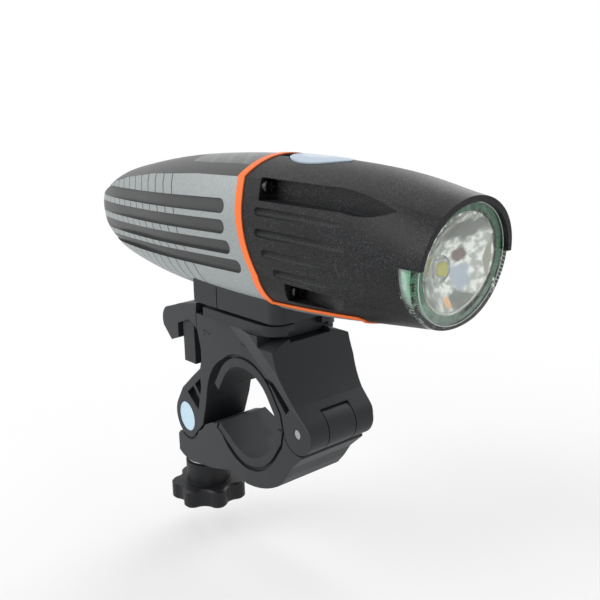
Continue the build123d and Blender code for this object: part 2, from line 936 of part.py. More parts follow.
def slot_face(x_rear, x_front, z_rear, z_front, rear_half, front_half):
    """A side view slot with a half round front end, which may sink and narrow towards the rear."""
    return side_outline(
        (x_rear, z_rear - rear_half),
        (x_front - front_half, z_front - front_half),
        ((x_front, z_front), (x_front - front_half, z_front + front_half)),
        (x_rear, z_rear + rear_half),
    )


# Each tail groove: its front end as a share of the half width, then its middle and its height at the
# front, and its middle and its height behind the tail, as shares of the rise.
groove_shares = [
    (0.126, 0.356, 0.190, 0.145, 0.173),
    (0.126, 0.076, 0.186, -0.124, 0.170),
    (0.240, -0.194, 0.182, -0.394, 0.155),
    (0.450, -0.436, 0.176, -0.606, 0.103),
]


def tail_grooves(outer_core):
    """Four slots on each side of the tail, which run out to nothing at its end."""
    slots = Part()
    for front_share, z_front_share, front_height_share, z_rear_share, rear_height_share in groove_shares:
        slots += through(
            slot_face(
                -tail_length - tail_floor,
                front_share * body_half_width,
                axis_height + z_rear_share * body_rise,
                axis_height + z_front_share * body_rise,
                rear_height_share * body_rise / 2,
                front_height_share * body_rise / 2,
            )
        )
    return slots - outer_core


# The indicator window's corners behind its front edge: shares of its rear end and of its half width.
window_front_share = 1.0
window_shares = [(0.5, 0.97), (0.95, 0.85)]


def window_plan():
    """The indicator window in plan, extruded upward."""
    corners = [(seam_place - groove_depth, window_front_share * window_half_width)]
    for rear_share, width_share in window_shares:
        corners.append((-rear_share * window_rear, width_share * window_half_width))
    corners.append((-window_rear, 0.0))
    mirrored = [(x, -y) for x, y in reversed(corners[:-1])]
    plan = Face(Wire.make_polygon([Vector(x, y, axis_height) for x, y in corners + mirrored], close=True))
    return extrude(plan, amount=overrun, dir=(0, 0, 1))


def port_cutter(grow, depth_from, depth_to):
    """The charging socket's outline, extruded downward from inside."""
    plan = Rectangle(port_thickness + 2 * grow, port_width + 2 * grow)
    plan = fillet(plan.vertices(), port_thickness / 4)
    placed = Location((-port_place, 0, depth_from)) * plan
    return extrude(placed, amount=depth_to - depth_from, dir=(0, 0, 1))


def cover_plan(front_gap, side_room, rear_room):
    """The socket cover's outline, through the underside of the tail."""
    half = cover_length / 2
    low = axis_height - 2 * body_drop
    return block(
        -port_place - half - rear_room,
        -port_place + half + front_gap,
        cover_half_width + side_room,
        low,
        axis_height - body_drop / 2,
    )


def screw_spots():
    """The middle of each housing screw's head face: x, y and z."""
    upper_z = axis_height + upper_screw_above_axis
    lower_z = axis_height - lower_screw_below_axis
    spots = []
    for side in (-1, 1):
        spots.append((upper_screw_place, side * upper_screw_half_width, upper_z))
        spots.append((lower_screw_place, side * lower_screw_half_width, lower_z))
    return spots


def screw_length(spot):
    """From the head's face back through the housing into the tail shell."""
    return spot[0] - seam_place + screw_bite


def screw_shanks(radius):
    shanks = Part()
    for spot in screw_spots():
        x, y, z = spot
        shanks += rod(radius, (x - screw_length(spot), y, z), (x, y, z))
    return shanks


def housing_screws():
    screws = []
    for x, y, z in screw_spots():
        head = rod(screw_head_radius, (x, y, z), (x + screw_head_height, y, z))
        head = fillet(head.edges().filter_by(GeomType.CIRCLE).sort_by(Axis.X)[-1:], screw_head_height / 3)
        slot_depth = screw_head_height / 2
        for turn in (0, 90):
            slot = Box(2 * slot_depth, screw_slot_width, screw_slot_length)
            head -= Location((x + screw_head_height, y, z), (turn, 0, 0)) * slot
        shank = rod(screw_radius, (x - screw_length((x, y, z)), y, z), (x, y, z))
        screws.append(head + shank)
    return screws


def tail_shell():
    shell = body_form() & behind_seam(0.0)
    shell -= inner_bay()
    shell -= tail_bay()
    shell -= tail_grooves(body_form(-groove_depth, groove_end_rise))
    shell -= window_plan() - body_form(-window_thickness)
    shell -= cover_plan(cover_gap, cover_gap, cover_rear_gap) - body_form(-cover_thickness - slip_gap)
    shell -= port_cutter(port_gap, axis_height - 2 * body_drop, axis_height - body_drop / 2)
    shell -= screw_shanks(screw_radius)
    shell -= block_screw_shanks(block_screw_radius)
    return shell


def seam_trim():
    trim = body_form(trim_proud) & (behind_seam(trim_width) - behind_seam(0.0))
    trim -= inner_bay()
    return trim - screw_shanks(screw_radius + running_gap)


def indicator_window():
    return (window_plan() & body_form()) - body_form(-window_thickness)


def optic_plane(back):
    """A plane square to the beam, a distance behind the mouth."""
    tilt = math.radians(mouth_tilt)
    normal = Vector(math.cos(tilt), 0, -math.sin(tilt))
    origin = Vector(mouth_place, 0, mouth_height) - normal * back
    return Plane(origin=origin, x_dir=(0, 1, 0), z_dir=normal)


def optic_disc(radius, back_from, back_to):
    """A disc on the beam's axis, between two distances behind the mouth."""
    return Part() + Solid.make_cylinder(radius, back_from - back_to, optic_plane(back_from))


def lens_back():
    return lens_inset + lens_thickness


def beam_plane(x):
    """A plane square to the beam, which runs level through the LED."""
    return Plane(origin=(x, 0, beam_height), x_dir=(0, 1, 0), z_dir=(1, 0, 0))


def beam_disc(radius, x_from, x_to):
    """A disc on the level axis of the LED."""
    return rod(radius, (x_from, 0, beam_height), (x_to, 0, beam_height))


def sink_rear():
    return led_place - led_board_thickness - sink_thickness


# The lens ear's lower corners: shares of its length ahead of its rear edge, and of the lens's radius down.
ear_shares = [(0.5, 0.9), (0.22, 0.74), (0.0, 0.43)]


def ear_region():
    """What the lens's skirt takes from the front edge of the body, below the visor."""
    top = mouth_height + ear_top_above_mouth
    low = axis_height - 2 * body_drop
    rear = mouth_place - ear_length + ear_top_above_mouth
    corners = [(rear + x * ear_length, top - z * lens_radius) for x, z in ear_shares]
    ears = through(
        side_outline(
            (rear, top), (mouth_place + overrun, top), (mouth_place + overrun, corners[0][1]), *corners
        )
    )
    rim = ahead_of_mouth(skirt_depth) & block(0.0, 2 * tail_length, overrun, low, top)
    return ears + rim


def ahead_of_mouth(back):
    """Everything ahead of a plane square to the beam."""
    box = Box(4 * overrun, 4 * overrun, overrun, align=(Align.CENTER, Align.CENTER, Align.MIN))
    return optic_plane(back) * box


def recess_cutter(x_rear, y_floor, bend, tip, outline):
    """A side recess whose floor slopes out past a bend to its front tip, on both sides."""
    cutter = Part()
    for side in (-1, 1):
        corners = [
            (x_rear + screw_head_height + slip_gap, side * y_floor),
            (x_rear, side * y_floor),
            (x_rear, side * overrun),
            (tip[0], side * overrun),
            (tip[0], side * tip[1]),
            (bend[0], side * bend[1]),
        ]
        plan = Face(Wire.make_polygon([Vector(x, y, 0) for x, y in corners], close=True))
        cutter += extrude(plan, amount=2 * overrun, dir=(0, 0, 1))
    return cutter & through(outline)


# Points along the recesses ahead of their screws: shares of the nose's length, or of the lower recess's
# length, and of the recess's height down from its top edge. A floor's bend and tip have their side place
# as a share of the half width.
upper_recess_shares = [(0.59, 0.085), (0.717, 0.3), (0.828, 0.73), (0.775, 0.94), (0.62, 1.0)]
upper_floor_shares = [(0.53, 0.736), (0.828, 0.765)]
lower_recess_shares = [(1.0, 0.13), (0.54, 0.88)]
lower_floor_shares = [(0.54, 0.833), (1.0, 0.792)]


def upper_recess():
    """The long pointed recess that holds the upper screw."""
    top = axis_height + upper_screw_above_axis + recess_above_screw
    height = recess_above_screw + upper_recess_below_screw
    points = [(x * nose_length, top - z * height) for x, z in upper_recess_shares]
    shoulder, upper_middle, tip, lower_middle, end = points
    bend, floor_tip = [(x * nose_length, y * body_half_width) for x, y in upper_floor_shares]
    return recess_cutter(
        upper_screw_place,
        upper_screw_half_width - screw_head_radius - slip_gap,
        bend,
        floor_tip,
        side_outline(
            (upper_screw_place, top - height),
            (upper_screw_place, top),
            shoulder,
            (upper_middle, tip),
            (lower_middle, end),
        ),
    )


def lower_recess():
    """The tapering recess that holds the lower screw, with its top edge drawn far forward."""
    top = axis_height - lower_screw_below_axis + recess_above_screw
    height = recess_above_screw + lower_recess_below_screw

    def along(x_share):
        return lower_screw_place + x_share * lower_recess_length

    points = [(along(x), top - z * height) for x, z in lower_recess_shares]
    bend, floor_tip = [(along(x), y * body_half_width) for x, y in lower_floor_shares]
    return recess_cutter(
        lower_screw_place,
        lower_screw_half_width - screw_head_radius - slip_gap,
        bend,
        floor_tip,
        side_outline((lower_screw_place, top - height), (lower_screw_place, top), *points),
    )


# Each pill groove on the nose: its rear end as a share of the nose, its height as a share of the rise and
# its axis's side place as a share of the half width, then the reach and the outward lean of them all.
pill_shares = [(0.205, 0.36, 1.006), (0.207, 0.088, 1.019), (0.235, -0.17, 1.017), (0.285, -0.41, 0.955)]
pill_reach_share = 0.42
pill_lean_share = 0.015


def nose_pills():
    """Round ended grooves that fade out forward, four on each side."""
    reach = pill_reach_share * nose_length
    pills = Part()
    for x_share, z_share, y_share in pill_shares:
        for side in (-1, 1):
            start = Vector(
                x_share * nose_length + pill_radius,
                side * y_share * body_half_width,
                axis_height + z_share * body_rise,
            )
            end = start + Vector(reach, side * pill_lean_share * body_half_width, 0)
            pills += rod(pill_radius, tuple(start), tuple(end))
            pills += Location(start) * Sphere(pill_radius)
    return pills


# The button's shoulder as shares of its length and half width, and how blunt its front tip is.
button_shoulder_shares = (0.1, 0.66)
button_tip_share = 0.083


def button_face(grow, z):
    """The button in plan: a lemon shape with a round rear and a pointed front."""
    rear = button_rear - grow
    front = button_front + grow
    half = button_half_width + grow
    length = front - rear
    shoulder = (rear + button_shoulder_shares[0] * length, button_shoulder_shares[1] * half)
    belly = (rear + length / 2, half)
    tip = button_tip_share * half

    def v(x, y):
        return Vector(x, y, z)

    edges = [
        ThreePointArc(v(shoulder[0], shoulder[1]), v(rear, 0), v(shoulder[0], -shoulder[1])),
        ThreePointArc(v(shoulder[0], -shoulder[1]), v(belly[0], -belly[1]), v(front, -tip)),
        Line(v(front, -tip), v(front, tip)),
        ThreePointArc(v(front, tip), v(belly[0], belly[1]), v(shoulder[0], shoulder[1])),
    ]
    return Face(Wire(edges))


def button_middle():
    return (button_rear + button_front) / 2


def button_floor():
    """The underside of the button's cap."""
    return crest_at(button_middle())[0] - button_thickness


def board_low():
    return cell_height + holder_radius + board_gap


def switch_top():
    return board_low() + board_thickness + switch_height


def power_button():
    cap = extrude(button_face(0.0, button_floor()), amount=overrun, dir=(0, 0, 1)) & body_form(button_proud)
    plunger_end = switch_top() + button_travel + running_gap
    return cap + rod(
        plunger_radius, (button_middle(), 0, plunger_end), (button_middle(), 0, button_floor())
    )


def front_housing():
    body = body_form() - behind_seam(trim_width)
    body -= ahead_of_mouth(-body_overhang)
    body -= ear_region()
    body -= optic_disc(lens_radius, lens_back() + gasket_depth, -overrun)
    body -= beam_disc(sink_radius, sink_rear(), mouth_place)
    body -= inner_bay()
    wire_height = beam_height + sink_radius - 2 * optic_wire_hole
    body -= rod(optic_wire_hole, (bay_front, 0, wire_height), (led_place, 0, wire_height))
    body -= upper_recess()
    body -= lower_recess()
    body -= nose_pills()
    body -= screw_shanks(screw_radius + running_gap)
    pocket_floor = button_floor() - button_travel - running_gap
    body -= extrude(button_face(button_gap, pocket_floor), amount=overrun, dir=(0, 0, 1))
    body -= rod(
        plunger_radius + slip_gap,
        (button_middle(), 0, bay_top - bay_height),
        (button_middle(), 0, pocket_floor + button_travel),
    )
    dish = block(
        seam_place + trim_width + button_gap,
        button_rear + button_gap,
        button_half_width / 2,
        crest_at(button_rear)[0] - body_overhang,
        bay_top + overrun,
    )
    body -= dish
    return body


def lens():
    disc = optic_disc(lens_radius, lens_back(), lens_inset)
    skirt = (body_form() & ear_region()) - ahead_of_mouth(lens_inset)
    skirt -= optic_disc(lens_radius - running_gap, overrun, lens_back() - running_gap)
    return disc + skirt


def lens_gasket():
    ring = optic_disc(lens_radius - running_gap, lens_back() + gasket_depth, lens_back())
    return ring - optic_disc(lens_radius - gasket_wall, lens_back() + gasket_depth + overrun, 0.0)


def bowl_depth(radius):
    """How far the bowl's surface has risen at a radius."""
    return radius * radius / (4 * bowl_focus)


def reflector():
    """A thin bowl turned about the beam, its rim cut parallel to the lens."""
    middle = reflector_hole + bowl_middle_share * (bowl_radius - reflector_hole)
    radii = [reflector_hole, middle, bowl_radius]
    inner = [Vector(radius, 0, bowl_depth(radius)) for radius in radii]
    outer = [point - Vector(0, 0, reflector_wall) for point in inner]
    edges = [
        ThreePointArc(*inner),
        Line(inner[-1], outer[-1]),
        ThreePointArc(*outer[::-1]),
        Line(outer[0], inner[0]),
    ]
    bowl = revolve(Face(Wire(edges)), Axis.Z)
    bowl = beam_plane(led_place + reflector_wall - bowl_depth(reflector_hole)) * bowl
    rim_radius = lens_radius - gasket_wall - running_gap
    return bowl & optic_disc(rim_radius, 2 * board_behind_mouth, lens_back())


def led_emitter():
    base = block(-emitter_half_width, emitter_half_width, emitter_half_width, 0.0, emitter_height)
    half_ball = Sphere(dome_radius) & block(-overrun, overrun, overrun, 0.0, overrun)
    dome = Location((0, 0, emitter_height)) * half_ball
    return beam_plane(led_place) * (base + dome)


def led_board():
    board = beam_disc(led_board_radius, led_place - led_board_thickness, led_place)
    wire_height = beam_height + sink_radius - 2 * optic_wire_hole
    return board - rod(optic_wire_hole / 2, (0, 0, wire_height), (mouth_place, 0, wire_height))


def heat_sink():
    rear = sink_rear()
    sink = beam_disc(sink_radius - running_gap, rear, rear + sink_thickness)
    step = 2 * sink_radius / sink_grooves
    for index in range(sink_grooves):
        low = beam_height + (index - (sink_grooves - 1) / 2) * step - sink_groove / 2
        sink -= block(rear - overrun, rear + sink_thickness / 2, overrun, low, low + sink_groove)
    wire_height = beam_height + sink_radius - 2 * optic_wire_hole
    return sink - rod(optic_wire_hole, (0, 0, wire_height), (mouth_place, 0, wire_height))


def battery_cell():
    front = cell_length - cell_rear
    can = rod(cell_radius, (-cell_rear, 0, cell_height), (front - holder_wall, 0, cell_height))
    can = fillet(can.edges().filter_by(GeomType.CIRCLE), holder_wall)
    return can + rod(cell_radius / 3, (front - 2 * holder_wall, 0, cell_height), (front, 0, cell_height))


def battery_holder():
    """A thin sleeve with two windows and an end plate behind the cell."""
    front = cell_length - cell_rear
    sleeve = rod(holder_radius, (-cell_rear - holder_end, 0, cell_height), (front, 0, cell_height))
    sleeve -= rod(
        cell_radius + holder_gap / 2, (-cell_rear, 0, cell_height), (front + overrun, 0, cell_height)
    )
    window = block(
        -cell_rear + holder_rib,
        front - holder_rib,
        overrun,
        cell_height - cell_radius / 2,
        cell_height + cell_radius / 2,
    )
    return sleeve - window


# Each chip on the board: its place as a share of the bay's front end, its side place as a share of the
# board's half width, and its size as a share of the bay's front end.
chip_shares = [
    (-0.25, 0.5, 0.12),
    (0.05, -0.4, 0.09),
    (0.25, 0.35, 0.07),
    (0.9, -0.45, 0.06),
    (0.92, 0.45, 0.05),
]


def control_board():
    low = board_low()
    high = low + board_thickness
    board = block(-bay_rear + holder_rib, bay_front - holder_rib, board_half_width, low, high)
    for place_share, side_share, size_share in chip_shares:
        half = size_share * bay_front / 2
        chip = Box(2 * half, 2 * half, chip_height, align=(Align.CENTER, Align.CENTER, Align.MIN))
        board += Location((place_share * bay_front, side_share * board_half_width, high)) * chip
    return board


def tact_switch():
    base = board_low() + board_thickness
    x = button_middle()
    half = switch_half_width
    case = block(x - half, x + half, half, base, base + switch_height - chip_height / 2)
    return case + rod(plunger_radius / 2, (x, 0, base), (x, 0, switch_top()))


def indicator_led():
    base = board_low() + board_thickness
    x = -window_rear / 3
    return block(x - chip_height, x + chip_height, chip_height, base, base + chip_height)


def port_low():
    """The charging socket's mouth, just above the cover."""
    return crest_at(-port_place)[1] + cover_thickness + cover_gap + 2 * port_wall


def usb_socket():
    low = port_low()
    shell = port_cutter(0.0, low, low + port_depth)
    shell -= port_cutter(-port_wall, low - overrun, low + port_depth - port_wall)
    return shell + block(
        -port_place - port_wall, -port_place + port_wall, port_width / 3, low + port_wall, low + port_depth
    )


def socket_board():
    """A small board that the charging socket stands against, on posts of the tail shell."""
    low = port_low() + port_depth
    return block(
        -tail_bay_rear + port_wall,
        -cell_rear - holder_end - holder_rib,
        tail_bay_half_width - slip_gap,
        low,
        low + board_thickness,
    )


def port_cover():
    cover = cover_plan(0.0, 0.0, 0.0) & body_form()
    return cover - body_form(-cover_thickness)


def block_screw_shanks(radius):
    shanks = Part()
    top = block_bottom + block_height + block_screw_bite
    for side in (-1, 1):
        x = side * block_screw_place
        shanks += rod(radius, (x, 0, rail_bottom), (x, 0, top))
    return shanks


def block_screw_heads(radius):
    heads = Part()
    for side in (-1, 1):
        x = side * block_screw_place
        heads += rod(radius, (x, 0, rail_bottom), (x, 0, rail_bottom + block_screw_head_depth))
    return heads


def block_screws():
    screws = block_screw_heads(block_screw_head) + block_screw_shanks(block_screw_radius)
    for side in (-1, 1):
        socket = block_screw_head_depth / 2
        screws -= rod(
            block_screw_head / 2,
            (side * block_screw_place, 0, rail_bottom - overrun),
            (side * block_screw_place, 0, rail_bottom + socket),
        )
    return screws


def mount_block():
    """The foot of the light: a block shaped to the keel, a neck and the rail."""
    foot = plan_plate(
        block_rear,
        block_front,
        block_half_width,
        block_corner,
        block_rear_corner,
        block_bottom,
        axis_height - body_drop / 2,
    )
    foot -= body_form()
    foot -= body_form(trim_proud) & (behind_seam(trim_width) - behind_seam(0.0))
    keep = block(-2 * overrun, 2 * overrun, overrun, block_bottom, axis_height - 0.72 * body_drop)
    foot = foot & keep
    rail_front = shoe_front - rail_front_inset
    foot += block(-block_rear, rail_front, rail_neck_half_width, rail_bottom, block_bottom)
    foot += block(-block_rear, rail_front, rail_half_width, rail_bottom, rail_top)
    foot -= block(
        -nub_rear - notch_play,
        -nub_rear + nub_length + notch_play,
        tongue_half_width + side_gap,
        rail_bottom - overrun,
        rail_bottom + notch_depth,
    )
    line = block(
        -block_line_place - block_line / 2, -block_line_place + block_line / 2, overrun, 0.0, 2 * overrun
    )
    line -= block(-overrun, overrun, block_half_width - block_line, -overrun, 2 * overrun)
    foot -= line
    foot -= block_screw_heads(block_screw_head + running_gap)
    return foot - block_screw_shanks(block_screw_radius)


def solids_of(shape):
    """The solids of a shape, or of a list of shapes."""
    if isinstance(shape, (list, tuple)):
        return [solid for item in shape for solid in item.solids()]
    return list(shape.solids())


nodes = {
    "upper_jaw": upper_jaw,
    "lower_jaw": lower_jaw,
    "upper_liner": upper_liner,
    "lower_liner": lower_liner,
    "hinge_pin": hinge_pin,
    "release_latch": release_latch,
    "barrel": barrel_nut,
    "clamp_bolt": clamp_bolt,
    "thrust_washer": thrust_washer,
    "star_knob": star_knob,
    "knob_insert": knob_insert,
    "mount_block": mount_block,
    "block_screws": block_screws,
    "tail_shell": tail_shell,
    "front_housing": front_housing,
    "seam_trim": seam_trim,
    "indicator_window": indicator_window,
    "power_button": power_button,
    "lens": lens,
    "lens_gasket": lens_gasket,
    "reflector": reflector,
    "led_emitter": led_emitter,
    "led_board": led_board,
    "heat_sink": heat_sink,
    "battery_cell": battery_cell,
    "battery_holder": battery_holder,
    "control_board": control_board,
    "tact_switch": tact_switch,
    "indicator_led": indicator_led,
    "usb_socket": usb_socket,
    "socket_board": socket_board,
    "port_cover": port_cover,
    "housing_screws": housing_screws,
}

for name, make in nodes.items():
    export_step(Compound(solids_of(make())), f"parts/{name}.step")
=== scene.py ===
import math

import bmesh
import bpy
from mathutils import Matrix, Vector


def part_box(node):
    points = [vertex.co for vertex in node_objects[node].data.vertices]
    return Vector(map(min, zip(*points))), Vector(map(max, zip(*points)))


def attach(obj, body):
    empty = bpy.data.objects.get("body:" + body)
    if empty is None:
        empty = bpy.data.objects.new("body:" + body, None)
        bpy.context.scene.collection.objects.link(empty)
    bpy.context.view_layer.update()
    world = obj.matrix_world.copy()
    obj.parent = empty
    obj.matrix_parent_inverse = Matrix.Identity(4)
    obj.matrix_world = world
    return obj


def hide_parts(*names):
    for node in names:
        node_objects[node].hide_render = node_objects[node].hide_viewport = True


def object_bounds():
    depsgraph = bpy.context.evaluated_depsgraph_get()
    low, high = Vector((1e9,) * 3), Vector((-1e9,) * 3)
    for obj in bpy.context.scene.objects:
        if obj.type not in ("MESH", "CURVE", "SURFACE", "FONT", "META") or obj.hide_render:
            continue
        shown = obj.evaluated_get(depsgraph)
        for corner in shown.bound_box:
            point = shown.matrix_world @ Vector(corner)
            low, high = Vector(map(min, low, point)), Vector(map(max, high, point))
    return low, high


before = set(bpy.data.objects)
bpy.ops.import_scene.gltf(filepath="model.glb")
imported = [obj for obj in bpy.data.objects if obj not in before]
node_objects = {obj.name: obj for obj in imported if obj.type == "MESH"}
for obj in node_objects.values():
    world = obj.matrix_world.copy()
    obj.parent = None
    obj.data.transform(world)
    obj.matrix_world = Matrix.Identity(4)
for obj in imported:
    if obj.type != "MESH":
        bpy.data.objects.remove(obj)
cad_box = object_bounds()

# Bicycle headlight on a handlebar clamp. Blender's lengths are metres. Sizes on the part are named in
# millimetres, as in the part's source, and MM turns them into metres.
MM = 0.001

# Camera, measured from the photograph
camera_place_mm = (155.64, -124.92, 78.88)
camera_yaw_deg = 49.16
camera_pitch_deg = 14.886
camera_roll_deg = -1.272
camera_lens_mm = 52.66
camera_sensor_mm = 36.0
camera_clip_start = 0.01

# Floor, in metres apart from its gap below the part
floor_gap_mm = 9.0
floor_ring_radii = (0.0005, 0.1, 0.3, 0.8, 2.0, 4.0)
floor_sides = 64
floor_fade_start = 0.09
floor_fade_end = 0.22
floor_glow = 0.45

# Light: the world's light, what a ray that meets nothing sees, and the lamps
world_level = 0.30
seen_level = 1.0
lamp_aim = (0.0, 0.0, 0.02)
# Each lamp: the direction to it, its distance, its width and the level it lights a white face to.
lamps = {
    "key": ((-0.45, -0.9, 0.55), 0.9, 0.6, 0.62),
    "top": ((-0.1, 0.1, 1.0), 0.9, 0.8, 0.35),
    "fill": ((0.8, -0.7, 0.35), 1.0, 0.5, 0.12),
    "far_side": ((-0.2, 0.9, 0.5), 1.0, 0.7, 0.45),
}

# Mouth of the light, as in the part's source
mouth_middle_mm = (57.1, 0.0, 43.15)
mouth_tilt_deg = 8.0

# Thin rings of the optics: radius, half thickness and place behind the mouth, in millimetres
reflector_rim_mm = (9.75, 0.22, 2.1)
# The lens's edge ring is an opaque pale ring that stands in for a highlight: a painted highlight.
lens_edge_mm = (11.9, 0.14, 0.42)
ring_steps = 96
tube_steps = 8

# Emitter
led_base_mm = 0.7
led_base_corner_mm = 0.25
phosphor_half_mm = 0.95
phosphor_corner_mm = 0.15
phosphor_proud_mm = 0.12
led_overlap_mm = 0.01
corner_steps = 5
dome_levels = 8
dome_sides = 40
dome_end_deg = 88

# Arrows on the clamp's sides: tail and tip of each, ahead of the bore and above it
release_arrow_mm = ((-14.6, 16.1), (-18.8, 15.9))
tighten_arrow_mm = ((-0.5, 16.9), (3.4, 16.5))
arrow_half_width_mm = 0.75
arrow_proud_mm = 0.12
arrow_sunk_mm = 0.05
# Arrow outline from its tip to its tail and back: shares of its length and of its half width.
arrow_shares = [
    (1.0, 0.0), (0.62, 1.0), (0.62, 0.28), (0.0, 0.28),
    (0.0, -0.28), (0.62, -0.28), (0.62, -1.0),
]

# Side faces of the clamp's upper half: half width at the bore and its slope behind and ahead of it
clamp_half_mm = 8.64
clamp_slope_behind = 0.091
clamp_slope_ahead = 0.038

# Body shell, as in the part's source
crease_points = [
    (-70.5, 43.7), (-69.0, 45.2), (-65.0, 46.9), (-57.0, 49.9), (-46.0, 52.2), (-30.0, 54.5),
    (-10.0, 56.1), (8.0, 56.7), (30.0, 56.3),
]
# Each groove on the tail's side: front end, middle and half height there, then both behind the tail.
# Its dark paint starts a margin outside it, with a soft edge.
groove_margin = 0.04
groove_soft = 0.02
groove_rear = -73.7
grooves = [
    (1.7, 49.97, 1.57, 46.49, 1.43),
    (1.7, 45.35, 1.53, 42.05, 1.40),
    (3.2, 40.90, 1.50, 37.60, 1.28),
    (6.1, 36.90, 1.45, 34.10, 0.85),
]
# Lines across the silver strips: the first one's place, the step to the next, width and soft edge.
ladder_start = -18.6
ladder_pitch = 4.1
ladder_width = 0.42
ladder_soft = 0.008
# How far forward the ladder lines stand at each height.
ladder_lean_points = [(28.0, 10.5), (34.4, 6.0), (38.0, 2.8), (42.0, 0.7), (46.6, -0.3), (52.7, -1.9)]

# Oval on the button: how far its middle is behind the button's, and its half sizes
oval_back_mm = 2.0
oval_half_length_mm = 4.2
oval_half_width_mm = 2.3
oval_full_share = 0.86
oval_rise = 6.0

# Faint slanted bands in the window: lean, width, where each is drawn and its soft edge
band_lean = 0.8
band_width_mm = 3.2
band_drawn_mm = 2.5
band_soft_mm = 0.4

# Turned rings on the barrel's end, in radians to the millimetre
turned_rings = 14.0

# Green seal: its middle above the beam, and how far in front of its back it is pale, from none to all
seal_above_beam_mm = 1.4
seal_pale_mm = (4.6, 3.2)
# Radii and places across, from none to all, between which the seal is darkened by painted shade from the
# gap at the bowl's rim.
seal_shade_radii_mm = (10.9, 10.5)
seal_shade_across_mm = (1.0, 4.0)

# Painted reflections in the plated bowl's colour: place across and above the beam, half width, half
# height and tint
bowl_painted_reflections = [
    (2.2, 7.6, 4.6, 2.3, (0.16, 0.17, 0.155)),
    (3.6, -6.3, 4.0, 1.9, (0.18, 0.20, 0.18)),
    (4.0, 2.3, 1.3, 1.7, (0.17, 0.13, 0.12)),
    (4.3, -1.8, 1.9, 2.5, (0.40, 0.45, 0.51)),
    (0.0, -6.4, 1.0, 1.5, (0.80, 0.50, 0.27)),
    (8.9, 1.5, 0.5, 4.5, (0.30, 0.30, 0.24)),
]

# Rounded edges: rays for each, and how well rounded and plain direction agree where unworn and worn
bevel_samples = 4
edge_plain = 0.99
edge_worn = 0.9

# Sockets of the colour mixing node
mix_share_socket = 0
mix_colour_sockets = (6, 7)
mixed_colour_socket = 2


# Nodes for materials


